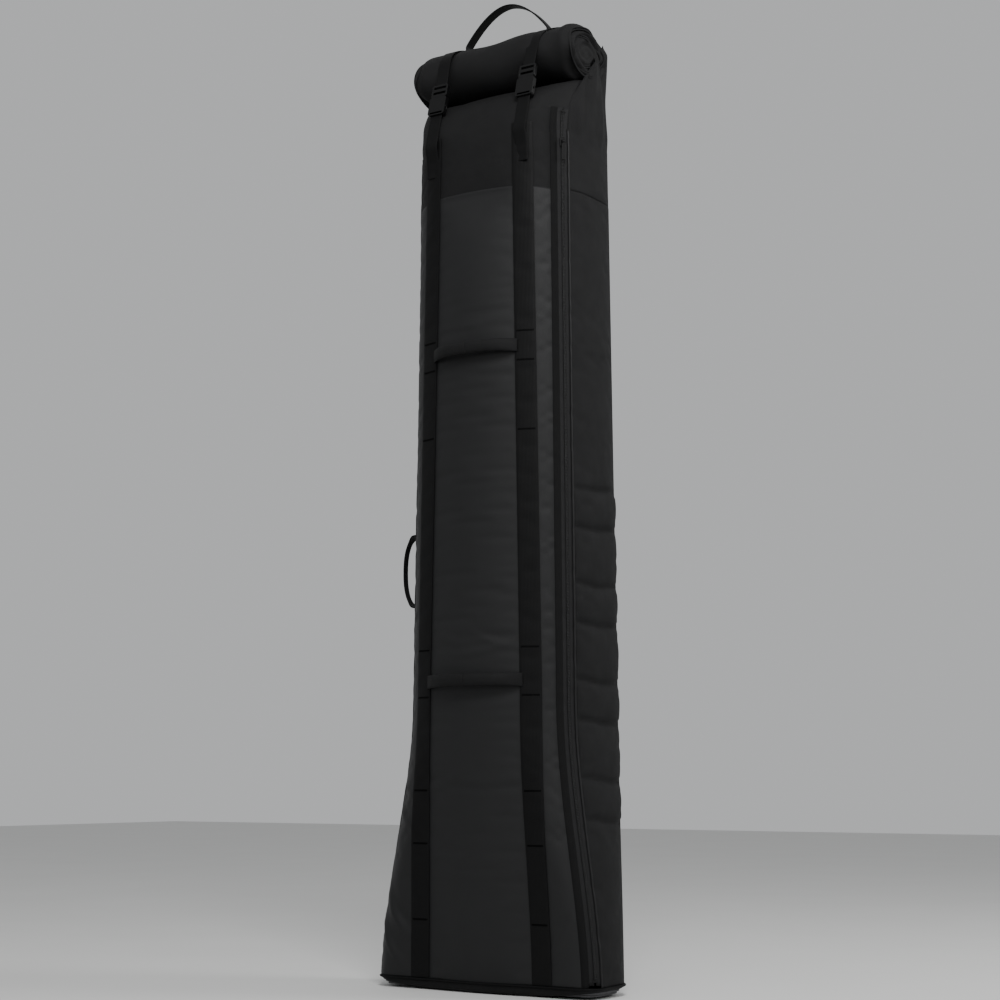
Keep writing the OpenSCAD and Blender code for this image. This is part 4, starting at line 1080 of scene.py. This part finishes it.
side_x = float(section(SIDE_HIGH)[0]) / 2 + 0.0015
for hand, way in (("lower", -1), ("upper", 1)):
    work = loop_work(arch_line(SIDE_SPAN / 2, SIDE_RISE, LOOP_FOOT, 0.024, (2.4, 0.5)), NARROW_WEB, LOOP_THICK)
    for vert in work.verts:
        along, across, out = vert.co
        wall = float(section(np.array(SIDE_HIGH + way * along))[0]) / 2 - side_x + 0.0015
        bulge = 0.0035 * max(0, 1 - out / 0.01)
        across *= 1 - 0.52 * float(ease((out - 0.014) / 0.016))
        vert.co = (-side_x - out - max(wall, 0) * (out < 0.006) - bulge, SIDE_Y - way * across, SIDE_HIGH + way * along)
    bmesh.ops.recalc_face_normals(work, faces=work.faces)
    loop = make_piece(f"side_handle_{hand}_half", work, webbing.material, solid=LOOP_THICK, bevel=0.0006, body=None)
    loop.modifiers["Thickness"].offset = 0
    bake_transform(loop)
    if way < 0:
        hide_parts("side_handle_ends", "side_handle_loop")

# ---- Haul handle ---------------------------------------------------------------------
# A loop of webbing across the top of the roll. Its ends lie under the two straps.
HAUL_RISE, HAUL_WIDE = 0.072, 0.020
HAUL_HALF = STRAP_AT + spread(ROLL_BACK) - NARROW_WEB / 2 - SPLAY * HAUL_WIDE / 2 - 0.004
roll_top = ROLL_Z + ROLL_HIGH / 2 + 0.0004 + LOOP_THICK / 2
for hand, way in (("left", -1), ("right", 1)):
    work = loop_work(arch_line(HAUL_HALF, HAUL_RISE, LOOP_FOOT, 0.040, (1.9, 1)), HAUL_WIDE, LOOP_THICK)
    for vert in work.verts:
        along, across, out = vert.co
        vert.co = (way * along, ROLL_BACK + across, roll_top + out)
    bmesh.ops.recalc_face_normals(work, faces=work.faces)
    loop = make_piece(f"haul_handle_{hand}_half", work, webbing.material, solid=LOOP_THICK, bevel=0.0006, body=None)
    loop.modifiers["Thickness"].offset = 0
    foot_x = way * HAUL_HALF
    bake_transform(loop)
    if way < 0:
        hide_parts("haul_handle_ends", "haul_handle_loop")

# ---- Floor, light and camera ---------------------------------------------------------
# A plain pale floor that runs into a pale surround, soft light from the right and the
# front, and a weaker one behind on the right that draws the bag's edge.
pale = Finish("floor", (0.62, 0.62, 0.61), 0.7)
pale.shade(pale.noise(3, 3), (0.60, 0.60, 0.59), (0.64, 0.64, 0.63))
floor_bm = bmesh.new()
bmesh.ops.create_grid(floor_bm, x_segments=8, y_segments=8, size=9)
floor = make_piece("floor", floor_bm, pale.material, body=None)
floor.location.z = -0.0004

world = bpy.data.worlds.new("studio")
bpy.context.scene.world = world
world.use_nodes = True
world.node_tree.nodes["Background"].inputs[0].default_value = (0.80, 0.81, 0.82, 1)
world.node_tree.nodes["Background"].inputs[1].default_value = 0.62


def soft_light(name, place, aim, size, power):
    lamp = bpy.data.lights.new(name, "AREA")
    lamp.shape, lamp.size, lamp.size_y, lamp.energy = "RECTANGLE", size[0], size[1], power
    holder = bpy.data.objects.new(name, lamp)
    bpy.context.scene.collection.objects.link(holder)
    holder.location = place
    holder.rotation_euler = (Vector(aim) - Vector(place)).to_track_quat("-Z", "Y").to_euler()


soft_light("key", (1.5, -1.8, 2.9), (0, 0, 1.35), (1.0, 1.4), 88)
soft_light("fill", (0.9, -3.0, 1.6), (0, 0, 1.6), (1.6, 1.0), 16)
soft_light("edge", (2.4, 1.2, 2.0), (0.1, 0, 1.0), (0.8, 2.0), 40)

YAW, PITCH, AWAY, ASIDE, EYE = math.radians(33), math.radians(8.19), 3.40, -0.009, 0.365
camera_data = bpy.data.cameras.new("camera")
camera_data.lens, camera_data.sensor_width = 69, 36
camera = bpy.data.objects.new("camera", camera_data)
bpy.context.scene.collection.objects.link(camera)
camera.location = (math.sin(YAW) * AWAY + math.cos(YAW) * ASIDE, -math.cos(YAW) * AWAY + math.sin(YAW) * ASIDE + 0.008, EYE)
camera.rotation_euler = (math.pi / 2 + PITCH, 0, YAW)
bpy.context.scene.camera = camera
